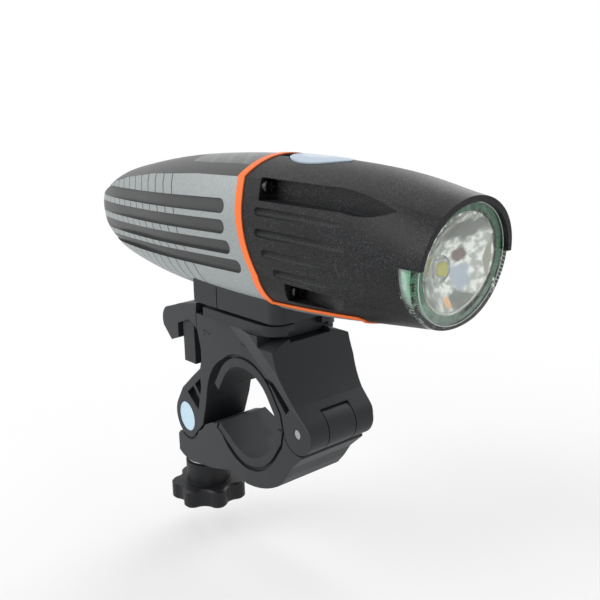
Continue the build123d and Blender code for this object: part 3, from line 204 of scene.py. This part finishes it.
class Surface:
    """A material under construction: its node tree, its main shader and short ways to add nodes."""

    def __init__(self, name, colour, roughness, metallic=0.0, specular=0.5):
        self.material = bpy.data.materials.new(name)
        self.material.use_nodes = True
        self.tree = self.material.node_tree
        self.tree.nodes.clear()
        self.output = self.tree.nodes.new("ShaderNodeOutputMaterial")
        self.shader = self.tree.nodes.new("ShaderNodeBsdfPrincipled")
        self.tree.links.new(self.shader.outputs["BSDF"], self.output.inputs["Surface"])
        self.set("Base Color", rgb(colour))
        self.set("Roughness", roughness)
        self.set("Metallic", metallic)
        self.set("Specular IOR Level", specular)
        coordinates = self.tree.nodes.new("ShaderNodeTexCoord")
        scale = self.add("ShaderNodeVectorMath", {"operation": "SCALE"}, [coordinates.outputs["Object"]])
        scale.inputs["Scale"].default_value = 1.0 / MM
        self.place = scale.outputs[0]
        split = self.add("ShaderNodeSeparateXYZ", {}, [self.place])
        self.x, self.y, self.z = split.outputs

    def feed(self, socket, value):
        if isinstance(value, bpy.types.NodeSocket):
            self.tree.links.new(value, socket)
        elif value is not None:
            socket.default_value = value

    def set(self, name, value):
        """Sets one of the shader's own sockets, by a value or by another node's output."""
        self.feed(self.shader.inputs[name], value)

    def add(self, kind, settings, inputs):
        node = self.tree.nodes.new(kind)
        for name, value in settings.items():
            setattr(node, name, value)
        for socket, value in zip(node.inputs, inputs):
            self.feed(socket, value)
        return node

    def math(self, operation, a, b=None):
        return self.add("ShaderNodeMath", {"operation": operation}, [a, b]).outputs[0]

    def both(self, a, b):
        return self.math("MINIMUM", a, b)

    def either(self, a, b):
        return self.math("MAXIMUM", a, b)

    def distance(self, a, b):
        """The length of the straight way that goes a along one axis and b along the other."""
        squares = self.math("ADD", self.math("MULTIPLY", a, a), self.math("MULTIPLY", b, b))
        return self.math("SQRT", squares)

    def above(self, value, edge, soft=0.03):
        """1 where value is above an edge and 0 below it, with a narrow ramp between."""
        difference = self.math("SUBTRACT", value, edge)
        return self.ramp(difference, -soft, soft)

    def ramp(self, value, low, high, to_low=0.0, to_high=1.0):
        node = self.add("ShaderNodeMapRange", {}, [value, low, high, to_low, to_high])
        return node.outputs[0]

    def curve(self, value, points):
        """The height of a line through given points, at value."""
        x_low, x_high = points[0][0], points[-1][0]
        heights = [height for _, height in points]
        low, high = min(heights), max(heights)
        share = self.ramp(value, x_low, x_high)
        node = self.add("ShaderNodeFloatCurve", {}, [1.0, share])
        knots = node.mapping.curves[0].points
        while len(knots) < len(points):
            knots.new(0.5, 0.5)
        for knot, (x, height) in zip(knots, points):
            knot.location = ((x - x_low) / (x_high - x_low), (height - low) / (high - low))
            knot.handle_type = "VECTOR"
        node.mapping.update()
        return self.ramp(node.outputs[0], 0.0, 1.0, low, high)

    def noise(self, size_mm, detail=2.0, stretch=(1.0, 1.0, 1.0)):
        """Noise whose features are about size_mm across, from 0 to 1."""
        place = self.add("ShaderNodeVectorMath", {"operation": "MULTIPLY"}, [self.place, stretch])
        node = self.add("ShaderNodeTexNoise", {}, [place.outputs[0]])
        node.inputs["Scale"].default_value = 1.0 / size_mm
        node.inputs["Detail"].default_value = detail
        return node.outputs[0]

    def cells(self, size_mm):
        """A random grey for each small cell, from 0 to 1."""
        node = self.add("ShaderNodeTexVoronoi", {}, [self.place])
        node.inputs["Scale"].default_value = 1.0 / size_mm
        return self.add("ShaderNodeSeparateColor", {}, [node.outputs["Color"]]).outputs[0]

    def mix(self, share, a, b):
        """A colour between a and b."""
        node = self.tree.nodes.new("ShaderNodeMix")
        node.data_type = "RGBA"
        self.feed(node.inputs[mix_share_socket], share)
        for socket, colour in zip(mix_colour_sockets, (a, b)):
            self.feed(node.inputs[socket], rgb(colour) if isinstance(colour, tuple) else colour)
        return node.outputs[mixed_colour_socket]

    def between(self, share, a, b):
        """A number between a and b."""
        return self.ramp(share, 0.0, 1.0, a, b)

    def round_edges(self, radius_mm):
        """The surface's direction with its sharp edges rounded off."""
        node = self.add("ShaderNodeBevel", {"samples": bevel_samples}, [radius_mm * MM])
        return node.outputs[0]

    def edges(self, rounded):
        """1 along the sharp edges and 0 away from them."""
        geometry = self.tree.nodes.new("ShaderNodeNewGeometry")
        directions = [rounded, geometry.outputs["Normal"]]
        node = self.add("ShaderNodeVectorMath", {"operation": "DOT_PRODUCT"}, directions)
        return self.ramp(node.outputs["Value"], edge_plain, edge_worn)

    def bump(self, height, depth_mm, normal=None):
        node = self.tree.nodes.new("ShaderNodeBump")
        node.inputs["Distance"].default_value = depth_mm * MM
        self.feed(node.inputs["Height"], height)
        self.feed(node.inputs["Normal"], normal)
        return node.outputs[0]


def rgb(colour):
    """A colour with its alpha."""
    return (*colour, 1.0)


def shade(colour, times, plus=0.0):
    """A lighter or darker tone of a colour."""
    return tuple(min(1.0, times * part + plus) for part in colour)


def middle_mm(box):
    """The middle of a box, in millimetres."""
    low, high = box
    return [(a + b) / 2 / MM for a, b in zip(low, high)]


# Materials


def moulded(name, colour, roughness, grain_mm=0.35, grain_depth_mm=0.012, edge_mm=0.25):
    """Moulded plastic: uneven tone, fine grain, rounded edges that catch a lighter tone."""
    s = Surface(name, colour, roughness, specular=0.3)
    rounded = s.round_edges(edge_mm)
    cloud = s.noise(9.0, 3.0)
    grain = s.noise(grain_mm)
    tone = s.mix(cloud, shade(colour, 0.8), shade(colour, 1.2))
    worn = shade(colour, 1.6, 0.004)
    s.set("Base Color", s.mix(s.both(s.edges(rounded), s.noise(3.0)), tone, worn))
    s.set("Roughness", s.between(s.both(cloud, grain), roughness - 0.08, roughness + 0.1))
    s.set("Normal", s.bump(grain, grain_depth_mm, rounded))
    return s


def sparkle_plastic(name):
    """The nose's moulded texture: black grain with small bright flecks."""
    s = Surface(name, (0.006, 0.0062, 0.007), 0.42, specular=0.2)
    rounded = s.round_edges(0.25)
    grain = s.noise(0.35, 3.0)
    fleck = s.above(s.cells(0.16), 0.80, 0.08)
    patch = s.ramp(s.noise(7.0, 2.0), 0.35, 0.65, 0.35, 1.0)
    tone = s.mix(s.noise(12.0), (0.004, 0.0042, 0.005), (0.008, 0.0082, 0.009))
    s.set("Base Color", s.mix(s.math("MULTIPLY", fleck, patch), tone, (0.050, 0.051, 0.055)))
    s.set("Roughness", s.between(grain, 0.34, 0.52))
    height = s.math("ADD", grain, s.math("MULTIPLY", fleck, 0.6))
    s.set("Normal", s.bump(height, 0.03, rounded))
    return s


def groove_mask(s, row):
    """1 inside one groove of the tail's side."""
    front, front_z, front_half, rear_z, rear_half = row
    middle = s.ramp(s.x, groove_rear, front, rear_z, front_z)
    half = s.ramp(s.x, groove_rear, front, rear_half, front_half)
    past = s.math("MAXIMUM", s.math("SUBTRACT", s.x, front - front_half), 0.0)
    off = s.math("SUBTRACT", s.z, middle)
    return s.above(s.math("ADD", half, groove_margin), s.distance(past, off), groove_soft)


def ladder_mask(s):
    """1 on the thin lines that cross the tail's silver strips."""
    lean = s.curve(s.z, ladder_lean_points)
    along = s.math("SUBTRACT", s.x, lean)
    steps = s.math("DIVIDE", s.math("SUBTRACT", ladder_start, along), ladder_pitch)
    near = s.math("ABSOLUTE", s.math("SUBTRACT", steps, s.math("ROUND", steps)))
    line = s.above(ladder_width / 2 / ladder_pitch, near, ladder_soft)
    return s.both(line, s.above(steps, -0.2))


def tail_paint(name):
    """The tail: silver sides with dark grooves and ladder lines, and a dark top."""
    s = Surface(name, (0.34, 0.37, 0.37), 0.4)
    rounded = s.round_edges(0.2)
    dark = s.above(s.z, s.curve(s.x, crease_points))
    for row in grooves:
        dark = s.either(dark, groove_mask(s, row))
    lines = ladder_mask(s)
    fleck = s.cells(0.22)
    cloud = s.noise(14.0)
    silver = s.mix(fleck, (0.27, 0.295, 0.295), (0.35, 0.38, 0.38))
    silver = s.mix(s.math("MULTIPLY", cloud, 0.25), silver, (0.23, 0.25, 0.26))
    line_tone = (0.028, 0.029, 0.030)
    charcoal = s.mix(cloud, (0.018, 0.019, 0.020), line_tone)
    painted = s.mix(lines, silver, line_tone)
    s.set("Base Color", s.mix(dark, painted, charcoal))
    plain = s.either(dark, lines)
    s.set("Metallic", s.between(plain, 0.45, 0.0))
    s.set("Roughness", s.between(plain, 0.42, 0.38))
    height = s.either(s.math("MULTIPLY", fleck, 0.35), s.noise(0.5))
    s.set("Normal", s.bump(height, 0.012, rounded))
    return s


def trim_plastic(name):
    """The orange band between the shells."""
    s = Surface(name, (0.95, 0.17, 0.035), 0.42, specular=0.25)
    rounded = s.round_edges(0.15)
    cloud = s.noise(6.0)
    s.set("Base Color", s.mix(cloud, (0.90, 0.16, 0.030), (0.97, 0.20, 0.045)))
    s.set("Roughness", s.between(s.noise(1.2), 0.32, 0.46))
    s.set("Normal", s.bump(s.noise(0.4), 0.01, rounded))
    return s


def smoked_plastic(name):
    """The indicator window: smoked, with the faint slanted shapes of what is under it."""
    s = Surface(name, (0.09, 0.095, 0.1), 0.3, specular=0.25)
    slanted = s.math("ADD", s.x, s.math("MULTIPLY", s.y, band_lean))
    band = s.above(s.math("PINGPONG", slanted, band_width_mm), band_drawn_mm, band_soft_mm)
    s.set("Base Color", s.mix(s.both(band, s.noise(5.0)), (0.10, 0.104, 0.106), (0.17, 0.175, 0.175)))
    s.set("Coat Weight", 0.1)
    s.set("Roughness", s.between(s.noise(2.0), 0.26, 0.36))
    s.set("Normal", s.bump(s.noise(2.5), 0.01))
    return s


def button_rubber(name):
    """Pale translucent rubber with a lighter oval in its middle."""
    s = Surface(name, (0.45, 0.54, 0.64), 0.42)
    middle = middle_mm(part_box("power_button"))[0] - oval_back_mm
    long = s.math("DIVIDE", s.math("SUBTRACT", s.x, middle), oval_half_length_mm)
    wide = s.math("DIVIDE", s.y, oval_half_width_mm)
    oval = s.ramp(s.distance(long, wide), 1.0, oval_full_share)
    s.set("Base Color", s.mix(s.math("MULTIPLY", oval, 0.75), (0.43, 0.52, 0.62), (0.62, 0.70, 0.80)))
    s.set("Subsurface Weight", 0.15)
    s.set("Subsurface Radius", (0.001, 0.001, 0.0012))
    s.set("Roughness", s.between(s.noise(0.8), 0.34, 0.5))
    height = s.math("ADD", s.noise(0.5), s.math("MULTIPLY", oval, oval_rise))
    s.set("Normal", s.bump(height, 0.02, s.round_edges(0.3)))
    return s


def soft_rubber(name, colour, roughness):
    """Matte rubber with a dusty, slightly pitted face."""
    s = Surface(name, colour, roughness, specular=0.3)
    dust = s.ramp(s.noise(4.0, 4.0), 0.45, 0.75)
    s.set("Base Color", s.mix(s.math("MULTIPLY", dust, 0.35), colour, shade(colour, 1.7, 0.004)))
    s.set("Roughness", s.between(dust, roughness - 0.05, roughness + 0.12))
    s.set("Normal", s.bump(s.noise(0.35, 3.0), 0.02, s.round_edges(0.2)))
    return s


def metal(name, colour, roughness, brushed=(1.0, 1.0, 1.0)):
    """Metal with fine marks drawn out along one direction."""
    s = Surface(name, colour, roughness, metallic=1.0)
    marks = s.noise(0.5, 3.0, brushed)
    s.set("Base Color", s.mix(s.noise(3.0), shade(colour, 0.85), colour))
    s.set("Roughness", s.between(marks, roughness - 0.08, roughness + 0.12))
    s.set("Normal", s.bump(marks, 0.008, s.round_edges(0.12)))
    return s


def anodised(name):
    """The pale blue end face of the barrel, near a plain colour, with turned rings."""
    s = Surface(name, (0.50, 0.68, 0.80), 0.42, metallic=0.15)
    middle_x, _, middle_z = middle_mm(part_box("barrel"))
    along = s.math("SUBTRACT", s.x, middle_x)
    up = s.math("SUBTRACT", s.z, middle_z)
    rings = s.math("SINE", s.math("MULTIPLY", s.distance(along, up), turned_rings))
    s.set("Base Color", s.mix(s.noise(2.5), (0.47, 0.65, 0.77), (0.56, 0.74, 0.85)))
    s.set("Roughness", s.between(s.noise(0.6), 0.36, 0.5))
    s.set("Normal", s.bump(rings, 0.004, s.round_edges(0.2)))
    return s


def reaches_lamps(s, tint):
    """Lets light from the lamps through a clear piece, and keeps its shader for everything else."""
    clear = s.add("ShaderNodeBsdfTransparent", {}, [rgb(tint)])
    path = s.tree.nodes.new("ShaderNodeLightPath")
    shaders = [path.outputs["Is Shadow Ray"], s.shader.outputs["BSDF"], clear.outputs[0]]
    node = s.add("ShaderNodeMixShader", {}, shaders)
    s.tree.links.new(node.outputs[0], s.output.inputs["Surface"])


def clear_plastic(name, tint, roughness, ior=1.45):
    """Clear plastic or silicone, a little uneven, that the lamps shine through."""
    s = Surface(name, tint, roughness)
    s.set("Transmission Weight", 1.0)
    s.set("IOR", ior)
    s.set("Normal", s.bump(s.noise(6.0), 0.01))
    reaches_lamps(s, tint)
    return s


def beam_offsets(s):
    """How far a place is across and above the beam, in millimetres."""
    return s.y, s.math("SUBTRACT", s.z, middle_mm(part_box("led_emitter"))[2])


def ellipse(s, across, up, y, z, half_width, half_height):
    """1 inside an uneven ellipse and 0 outside it."""
    side = s.math("DIVIDE", s.math("SUBTRACT", across, y), half_width)
    rise = s.math("DIVIDE", s.math("SUBTRACT", up, z), half_height)
    uneven = s.math("ADD", s.distance(side, rise), s.ramp(s.noise(2.2), 0.3, 0.7, -0.3, 0.3))
    return s.ramp(uneven, 1.15, 0.75)


def mirror(name):
    """The vacuum plated bowl: a mirror with soft ripples and a little haze, with reflections of its
    surroundings painted into its colour.
    """
    s = Surface(name, (0.80, 0.81, 0.78), 0.06, metallic=1.0)
    across, up = beam_offsets(s)
    # Painted reflections: darker patches in the plating's colour, then the listed marks of what the bowl
    # reflects.
    tint = s.mix(s.ramp(s.noise(1.6, 1.0), 0.42, 0.6), (0.42, 0.44, 0.41), (0.80, 0.82, 0.78))
    for *outline, reflection_tint in bowl_painted_reflections:
        tint = s.mix(ellipse(s, across, up, *outline), tint, reflection_tint)
    s.set("Base Color", tint)
    s.set("Roughness", s.between(s.noise(5.0), 0.08, 0.18))
    s.set("Normal", s.bump(s.noise(2.4, 1.5), 0.10))
    return s


def gasket(name):
    """The green seal: painted shade by the bowl's rim on its far side, where the gap between them falls
    in shadow, and pale behind the lens's ears.
    """
    s = Surface(name, (0.06, 0.34, 0.15), 0.4, specular=0.3)
    across, up = beam_offsets(s)
    radius = s.distance(across, s.math("SUBTRACT", up, seal_above_beam_mm))
    green = s.mix(s.noise(3.0), (0.035, 0.20, 0.095), (0.07, 0.32, 0.15))
    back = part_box("lens_gasket")[0].x / MM
    pale_ends = [back + ahead for ahead in seal_pale_mm]
    pale = s.both(s.ramp(s.noise(2.0), 0.4, 0.6, 0.5, 1.0), s.ramp(s.x, *pale_ends))
    green = s.mix(pale, green, (0.42, 0.50, 0.46))
    # Painted shade: the seal goes near black by the bowl's rim, where the gap between them is in shadow.
    inner = s.both(s.ramp(radius, *seal_shade_radii_mm), s.ramp(across, *seal_shade_across_mm))
    s.set("Base Color", s.mix(inner, green, (0.012, 0.016, 0.014)))
    s.set("Roughness", s.between(s.noise(0.8), 0.34, 0.5))
    s.set("Normal", s.bump(s.noise(0.35, 3.0), 0.02, s.round_edges(0.2)))
    return s


def phosphor(name):
    """The yellow layer of a white LED."""
    s = Surface(name, (0.75, 0.72, 0.10), 0.6)
    s.set("Base Color", s.mix(s.noise(0.5), (0.62, 0.66, 0.08), (0.85, 0.80, 0.16)))
    s.set("Normal", s.bump(s.noise(0.15), 0.01))
    return s


def circuit_board(name, colour):
    """Solder mask, lighter along its tracks."""
    s = Surface(name, colour, 0.35)
    track = s.above(s.noise(2.6, 1.0, (0.4, 1.6, 1.0)), 0.58, 0.01)
    s.set("Base Color", s.mix(track, colour, shade(colour, 1.5, 0.02)))
    s.set("Normal", s.bump(track, 0.02))
    return s


def wrapped_can(name):
    """The cell's shrink wrap with bright ends."""
    s = Surface(name, (0.05, 0.25, 0.36), 0.3)
    s.set("Base Color", s.mix(s.noise(8.0), (0.04, 0.22, 0.33), (0.07, 0.29, 0.40)))
    s.set("Coat Weight", 0.3)
    s.set("Normal", s.bump(s.noise(1.5, 2.0, (0.2, 1.0, 1.0)), 0.02))
    return s


def dress(names, surface):
    """Gives CAD nodes their material."""
    for name in names:
        slots = node_objects[name].data.materials
        slots.clear()
        slots.append(surface.material)


def dress_nodes():
    dress(["upper_jaw"], moulded("clamp_upper_plastic", (0.016, 0.018, 0.021), 0.5))
    dress(["lower_jaw"], moulded("clamp_lower_plastic", (0.017, 0.019, 0.022), 0.5))
    dress(["release_latch"], moulded("latch_plastic", (0.018, 0.020, 0.023), 0.48))
    dress(["mount_block"], moulded("block_plastic", (0.015, 0.017, 0.019), 0.46, grain_mm=0.3))
    knob = moulded("knob_plastic", (0.008, 0.0085, 0.010), 0.5, grain_mm=0.4, grain_depth_mm=0.02)
    dress(["star_knob"], knob)
    inner = moulded("inner_plastic", (0.03, 0.03, 0.03), 0.5, grain_mm=0.4, grain_depth_mm=0.01)
    dress(["battery_holder", "tact_switch"], inner)
    dress(["upper_liner", "lower_liner"], soft_rubber("liner_rubber", (0.019, 0.022, 0.024), 0.62))
    dress(["port_cover"], soft_rubber("cover_rubber", (0.022, 0.022, 0.023), 0.6))
    dress(["lens_gasket"], gasket("gasket_rubber"))
    dress(["front_housing"], sparkle_plastic("nose_plastic"))
    dress(["tail_shell"], tail_paint("tail_paint"))
    dress(["seam_trim"], trim_plastic("trim_plastic"))
    dress(["indicator_window"], smoked_plastic("window_plastic"))
    dress(["power_button"], button_rubber("button_rubber"))
    dress(["lens"], clear_plastic("lens_plastic", (0.97, 0.985, 0.975), 0.0))
    dress(["reflector"], mirror("reflector_plating"))
    dress(["barrel"], anodised("barrel_anodised"))
    dress(["hinge_pin"], metal("pin_steel", (0.42, 0.42, 0.41), 0.45))
    dress(["clamp_bolt"], metal("bolt_steel", (0.5, 0.5, 0.5), 0.3, (1.0, 1.0, 4.0)))
    dress(["thrust_washer", "knob_insert"], metal("washer_steel", (0.5, 0.5, 0.5), 0.3))
    dress(["housing_screws", "block_screws"], metal("screw_black", (0.05, 0.05, 0.055), 0.28))
    dress(["heat_sink"], metal("sink_metal", (0.6, 0.6, 0.62), 0.4))
    dress(["usb_socket"], metal("socket_steel", (0.62, 0.62, 0.63), 0.25))
    dress(["led_board"], circuit_board("led_board_mask", (0.62, 0.63, 0.62)))
    dress(["control_board", "socket_board"], circuit_board("board_mask", (0.02, 0.13, 0.06)))
    dress(["battery_cell"], wrapped_can("cell_wrap"))
    dress(["indicator_led"], phosphor("signal_phosphor"))


# Pieces


def mesh_piece(name, build):
    """A mesh object filled by build, which gets an empty bmesh in metres in the frame."""
    shape = bmesh.new()
    build(shape)
    bmesh.ops.recalc_face_normals(shape, faces=shape.faces)
    mesh = bpy.data.meshes.new(name)
    shape.to_mesh(mesh)
    shape.free()
    piece = bpy.data.objects.new(name, mesh)
    bpy.context.scene.collection.objects.link(piece)
    return piece


def rounded_plate(shape, x_low, x_high, half, corner, z_middle):
    """A square plate with rounded corners, square to the beam."""
    rings = []
    for x in (x_low, x_high):
        ring = []
        for quarter in range(4):
            turn = math.radians(45 + 90 * quarter)
            centre_y = math.copysign(half - corner, math.cos(turn))
            centre_z = math.copysign(half - corner, math.sin(turn))
            for step in range(corner_steps + 1):
                angle = math.radians(90 * quarter + 90 * step / corner_steps)
                y = centre_y + corner * math.cos(angle)
                z = z_middle + centre_z + corner * math.sin(angle)
                ring.append(shape.verts.new((x, y, z)))
        rings.append(ring)
    close_rings(shape, rings)


def close_rings(shape, rings):
    """Joins rings of points into a closed solid."""
    count = len(rings[0])
    for low, high in zip(rings, rings[1:]):
        for i in range(count):
            j = (i + 1) % count
            shape.faces.new((low[i], low[j], high[j], high[i]))
    shape.faces.new(rings[0])
    shape.faces.new(rings[-1])


def turns(count):
    """The angles of a full turn in equal steps."""
    return [2 * math.pi * step / count for step in range(count)]


def led_pieces():
    """The emitter: a ceramic base, the phosphor square and the clear dome over them."""
    low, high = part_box("led_emitter")
    z_middle = (low.z + high.z) / 2
    half = (high.y - low.y) / 2
    base_top = low.x + led_base_mm * MM
    dome_radius = high.x - base_top
    phosphor_top = base_top + phosphor_proud_mm * MM
    seat = base_top - led_overlap_mm * MM

    def base(shape):
        rounded_plate(shape, low.x, base_top, half, led_base_corner_mm * MM, z_middle)

    def square(shape):
        corner = phosphor_corner_mm * MM
        rounded_plate(shape, seat, phosphor_top, phosphor_half_mm * MM, corner, z_middle)

    def dome(shape):
        rings = []
        for level in range(dome_levels + 1):
            angle = math.radians(dome_end_deg * level / dome_levels)
            x = seat + dome_radius * math.sin(angle)
            radius = dome_radius * math.cos(angle)
            rings.append([
                shape.verts.new((x, radius * math.cos(turn), z_middle + radius * math.sin(turn)))
                for turn in turns(dome_sides)
            ])
        close_rings(shape, rings)

    ceramic = Surface("led_ceramic", (0.72, 0.72, 0.70), 0.45)
    ceramic.set("Base Color", ceramic.mix(ceramic.noise(0.8), (0.62, 0.62, 0.60), (0.78, 0.78, 0.75)))
    for name, build, surface in (
        ("led_base", base, ceramic),
        ("led_phosphor", square, phosphor("led_phosphor_yellow")),
        ("led_dome", dome, clear_plastic("dome_silicone", (0.98, 0.98, 0.95), 0.02, 1.4)),
    ):
        piece = mesh_piece(name, build)
        piece.data.materials.append(surface.material)
        if build is dome:
            piece.data.shade_smooth()
        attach(piece, "light")
    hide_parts("led_emitter")


def lens_ring(name, radius_mm, tube_mm, back_mm, surface, slot_name):
    """A thin ring round the lens's axis, some way behind the mouth of the light."""
    tilt = math.radians(mouth_tilt_deg)
    outward = Vector((math.cos(tilt), 0.0, -math.sin(tilt)))
    upward = Vector((math.sin(tilt), 0.0, math.cos(tilt)))
    sideways = Vector((0.0, 1.0, 0.0))
    centre = (Vector(mouth_middle_mm) - outward * back_mm) * MM

    def build(shape):
        rings = []
        for turn in turns(ring_steps):
            radial = upward * math.cos(turn) + sideways * math.sin(turn)
            ring = []
            for angle in turns(tube_steps):
                reach = (radius_mm + tube_mm * math.cos(angle)) * MM
                lift = tube_mm * MM * math.sin(angle)
                ring.append(shape.verts.new(centre + radial * reach + outward * lift))
            rings.append(ring)
        for low, high in zip(rings, rings[1:] + rings[:1]):
            for side in range(tube_steps):
                following = (side + 1) % tube_steps
                shape.faces.new((low[side], low[following], high[following], high[side]))

    piece = mesh_piece(name, build)
    piece.data.materials.append(surface.material)
    piece.data.shade_smooth()
    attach(piece, "light")


def optic_rings():
    """The bowl's bright rim, and a pale ring on the lens's front edge that is a painted highlight."""
    rim = Surface("rim_plating", (0.62, 0.64, 0.60), 0.25, metallic=0.6)
    rim.set("Base Color", rim.mix(rim.noise(2.0), (0.50, 0.53, 0.50), (0.70, 0.72, 0.68)))
    lens_ring("reflector_rim", *reflector_rim_mm, rim, "reflector_chrome")
    # Painted highlight: an opaque pale ring in place of the light caught by the clear lens's edge.
    edge = Surface("lens_edge_painted_highlight", (0.52, 0.56, 0.54), 0.2)
    edge.set("Base Color", edge.mix(edge.noise(3.0), (0.36, 0.40, 0.38), (0.66, 0.70, 0.68)))
    lens_ring("lens_edge", *lens_edge_mm, edge, "lens_clear")


def side_of_clamp(x):
    """How far the clamp's side face is from the middle plane, in metres."""
    slope = clamp_slope_behind if x < 0 else clamp_slope_ahead
    return clamp_half_mm * MM + slope * x


def arrow(name, ends_mm, side, surface):
    """A thin raised arrow on the side of the upper jaw."""
    tail, tip = (Vector(end) * MM for end in ends_mm)
    along = tip - tail
    across = Vector((-along.y, along.x)).normalized() * arrow_half_width_mm * MM

    def build(shape):
        rings = []
        for lift_mm in (-arrow_sunk_mm, arrow_proud_mm):
            ring = []
            for share, width in arrow_shares:
                x, z = tail + along * share + across * width
                ring.append(shape.verts.new((x, side * (side_of_clamp(x) + lift_mm * MM), z)))
            rings.append(ring)
        close_rings(shape, rings)

    piece = mesh_piece(name, build)
    piece.data.materials.append(surface.material)
    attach(piece, "clamp_upper")


def arrows():
    """The plain arrows that show which way the latch and the clamp move."""
    fine = {"grain_mm": 0.3, "grain_depth_mm": 0.005, "edge_mm": 0.05}
    mark = moulded("mark_plastic", (0.016, 0.017, 0.019), 0.45, **fine)
    for label, side in (("right", -1), ("left", 1)):
        arrow(f"release_arrow_{label}", release_arrow_mm, side, mark)
        arrow(f"tighten_arrow_{label}", tighten_arrow_mm, side, mark)


# Studio


def seen_ray(tree):
    """1 for rays that see a surface directly, in a mirror or through glass, and 0 for its light."""
    path = tree.nodes.new("ShaderNodeLightPath")
    total = None
    for name in ("Is Camera Ray", "Is Glossy Ray", "Is Transmission Ray"):
        if total is None:
            total = path.outputs[name]
            continue
        node = tree.nodes.new("ShaderNodeMath")
        node.operation = "MAXIMUM"
        tree.links.new(total, node.inputs[0])
        tree.links.new(path.outputs[name], node.inputs[1])
        total = node.outputs[0]
    return total


def studio_world():
    """A white world that looks bright and gives a weaker light."""
    world = bpy.data.worlds.new("studio")
    world.use_nodes = True
    tree = world.node_tree
    background = tree.nodes["Background"]
    background.inputs["Color"].default_value = (1.0, 1.0, 1.0, 1.0)
    level = tree.nodes.new("ShaderNodeMapRange")
    tree.links.new(seen_ray(tree), level.inputs[0])
    level.inputs["To Min"].default_value = world_level
    level.inputs["To Max"].default_value = seen_level
    tree.links.new(level.outputs[0], background.inputs["Strength"])
    bpy.context.scene.world = world


def floor():
    """A round pale floor below every pose of the part, which fades into the white background."""
    height = cad_box[0][2] - floor_gap_mm * MM

    def build(shape):
        rings = []
        for radius in floor_ring_radii:
            rings.append([
                shape.verts.new((radius * math.cos(turn), radius * math.sin(turn), height))
                for turn in turns(floor_sides)
            ])
        for inner, outer in zip(rings, rings[1:]):
            for i in range(floor_sides):
                j = (i + 1) % floor_sides
                shape.faces.new((inner[i], outer[i], outer[j], inner[j]))
        shape.faces.new(rings[0])

    piece = mesh_piece("floor", build)
    s = Surface("floor_paint", (0.92, 0.92, 0.92), 0.9, specular=0.1)
    s.set("Base Color", s.mix(s.noise(60.0), (0.90, 0.90, 0.90), (0.94, 0.94, 0.94)))
    fade = s.ramp(s.distance(s.x, s.y), floor_fade_start / MM, floor_fade_end / MM)
    glow = s.add("ShaderNodeEmission", {}, [rgb((1.0, 1.0, 1.0)), seen_level])
    share = s.math("MULTIPLY", s.between(fade, floor_glow, 1.0), seen_ray(s.tree))
    mixed = s.add("ShaderNodeMixShader", {}, [share, s.shader.outputs["BSDF"], glow.outputs[0]])
    s.tree.links.new(mixed.outputs[0], s.output.inputs["Surface"])
    piece.data.materials.append(s.material)


def soft_light(name, direction, distance, size, level):
    """A square soft lamp that lights a white face turned to it to a level of its plain colour."""
    lamp = bpy.data.lights.new(name, "AREA")
    lamp.shape = "SQUARE"
    lamp.size = size
    lamp.energy = level * (math.pi * distance) ** 2
    piece = bpy.data.objects.new(name, lamp)
    towards = Vector(direction).normalized()
    piece.location = Vector(lamp_aim) + towards * distance
    piece.rotation_euler = towards.to_track_quat("Z", "Y").to_euler()
    bpy.context.scene.collection.objects.link(piece)


def studio_lights():
    """The lamps round the part."""
    for name, (direction, distance, size, level) in lamps.items():
        soft_light(name, direction, distance, size, level)


def photo_camera():
    """The camera, where the photograph was taken from."""
    yaw = math.radians(camera_yaw_deg)
    pitch = math.radians(camera_pitch_deg)
    roll = math.radians(camera_roll_deg)
    flat = math.cos(pitch)
    forward = Vector((-math.sin(yaw) * flat, math.cos(yaw) * flat, -math.sin(pitch)))
    level = Vector((math.cos(yaw), math.sin(yaw), 0.0))
    upward = level.cross(forward)
    right = level * math.cos(roll) + upward * math.sin(roll)
    up = upward * math.cos(roll) - level * math.sin(roll)
    camera = bpy.data.cameras.new("photo_camera")
    camera.lens = camera_lens_mm
    camera.sensor_width = camera_sensor_mm
    camera.clip_start = camera_clip_start
    piece = bpy.data.objects.new("photo_camera", camera)
    turn = Matrix((right, up, -forward)).transposed().to_4x4()
    piece.matrix_world = Matrix.Translation(Vector(camera_place_mm) * MM) @ turn
    bpy.context.scene.collection.objects.link(piece)
    bpy.context.scene.camera = piece


photo_camera()
studio_world()
studio_lights()
floor()
dress_nodes()
led_pieces()
optic_rings()
arrows()

bpy.context.scene.view_settings.view_transform = "Standard"
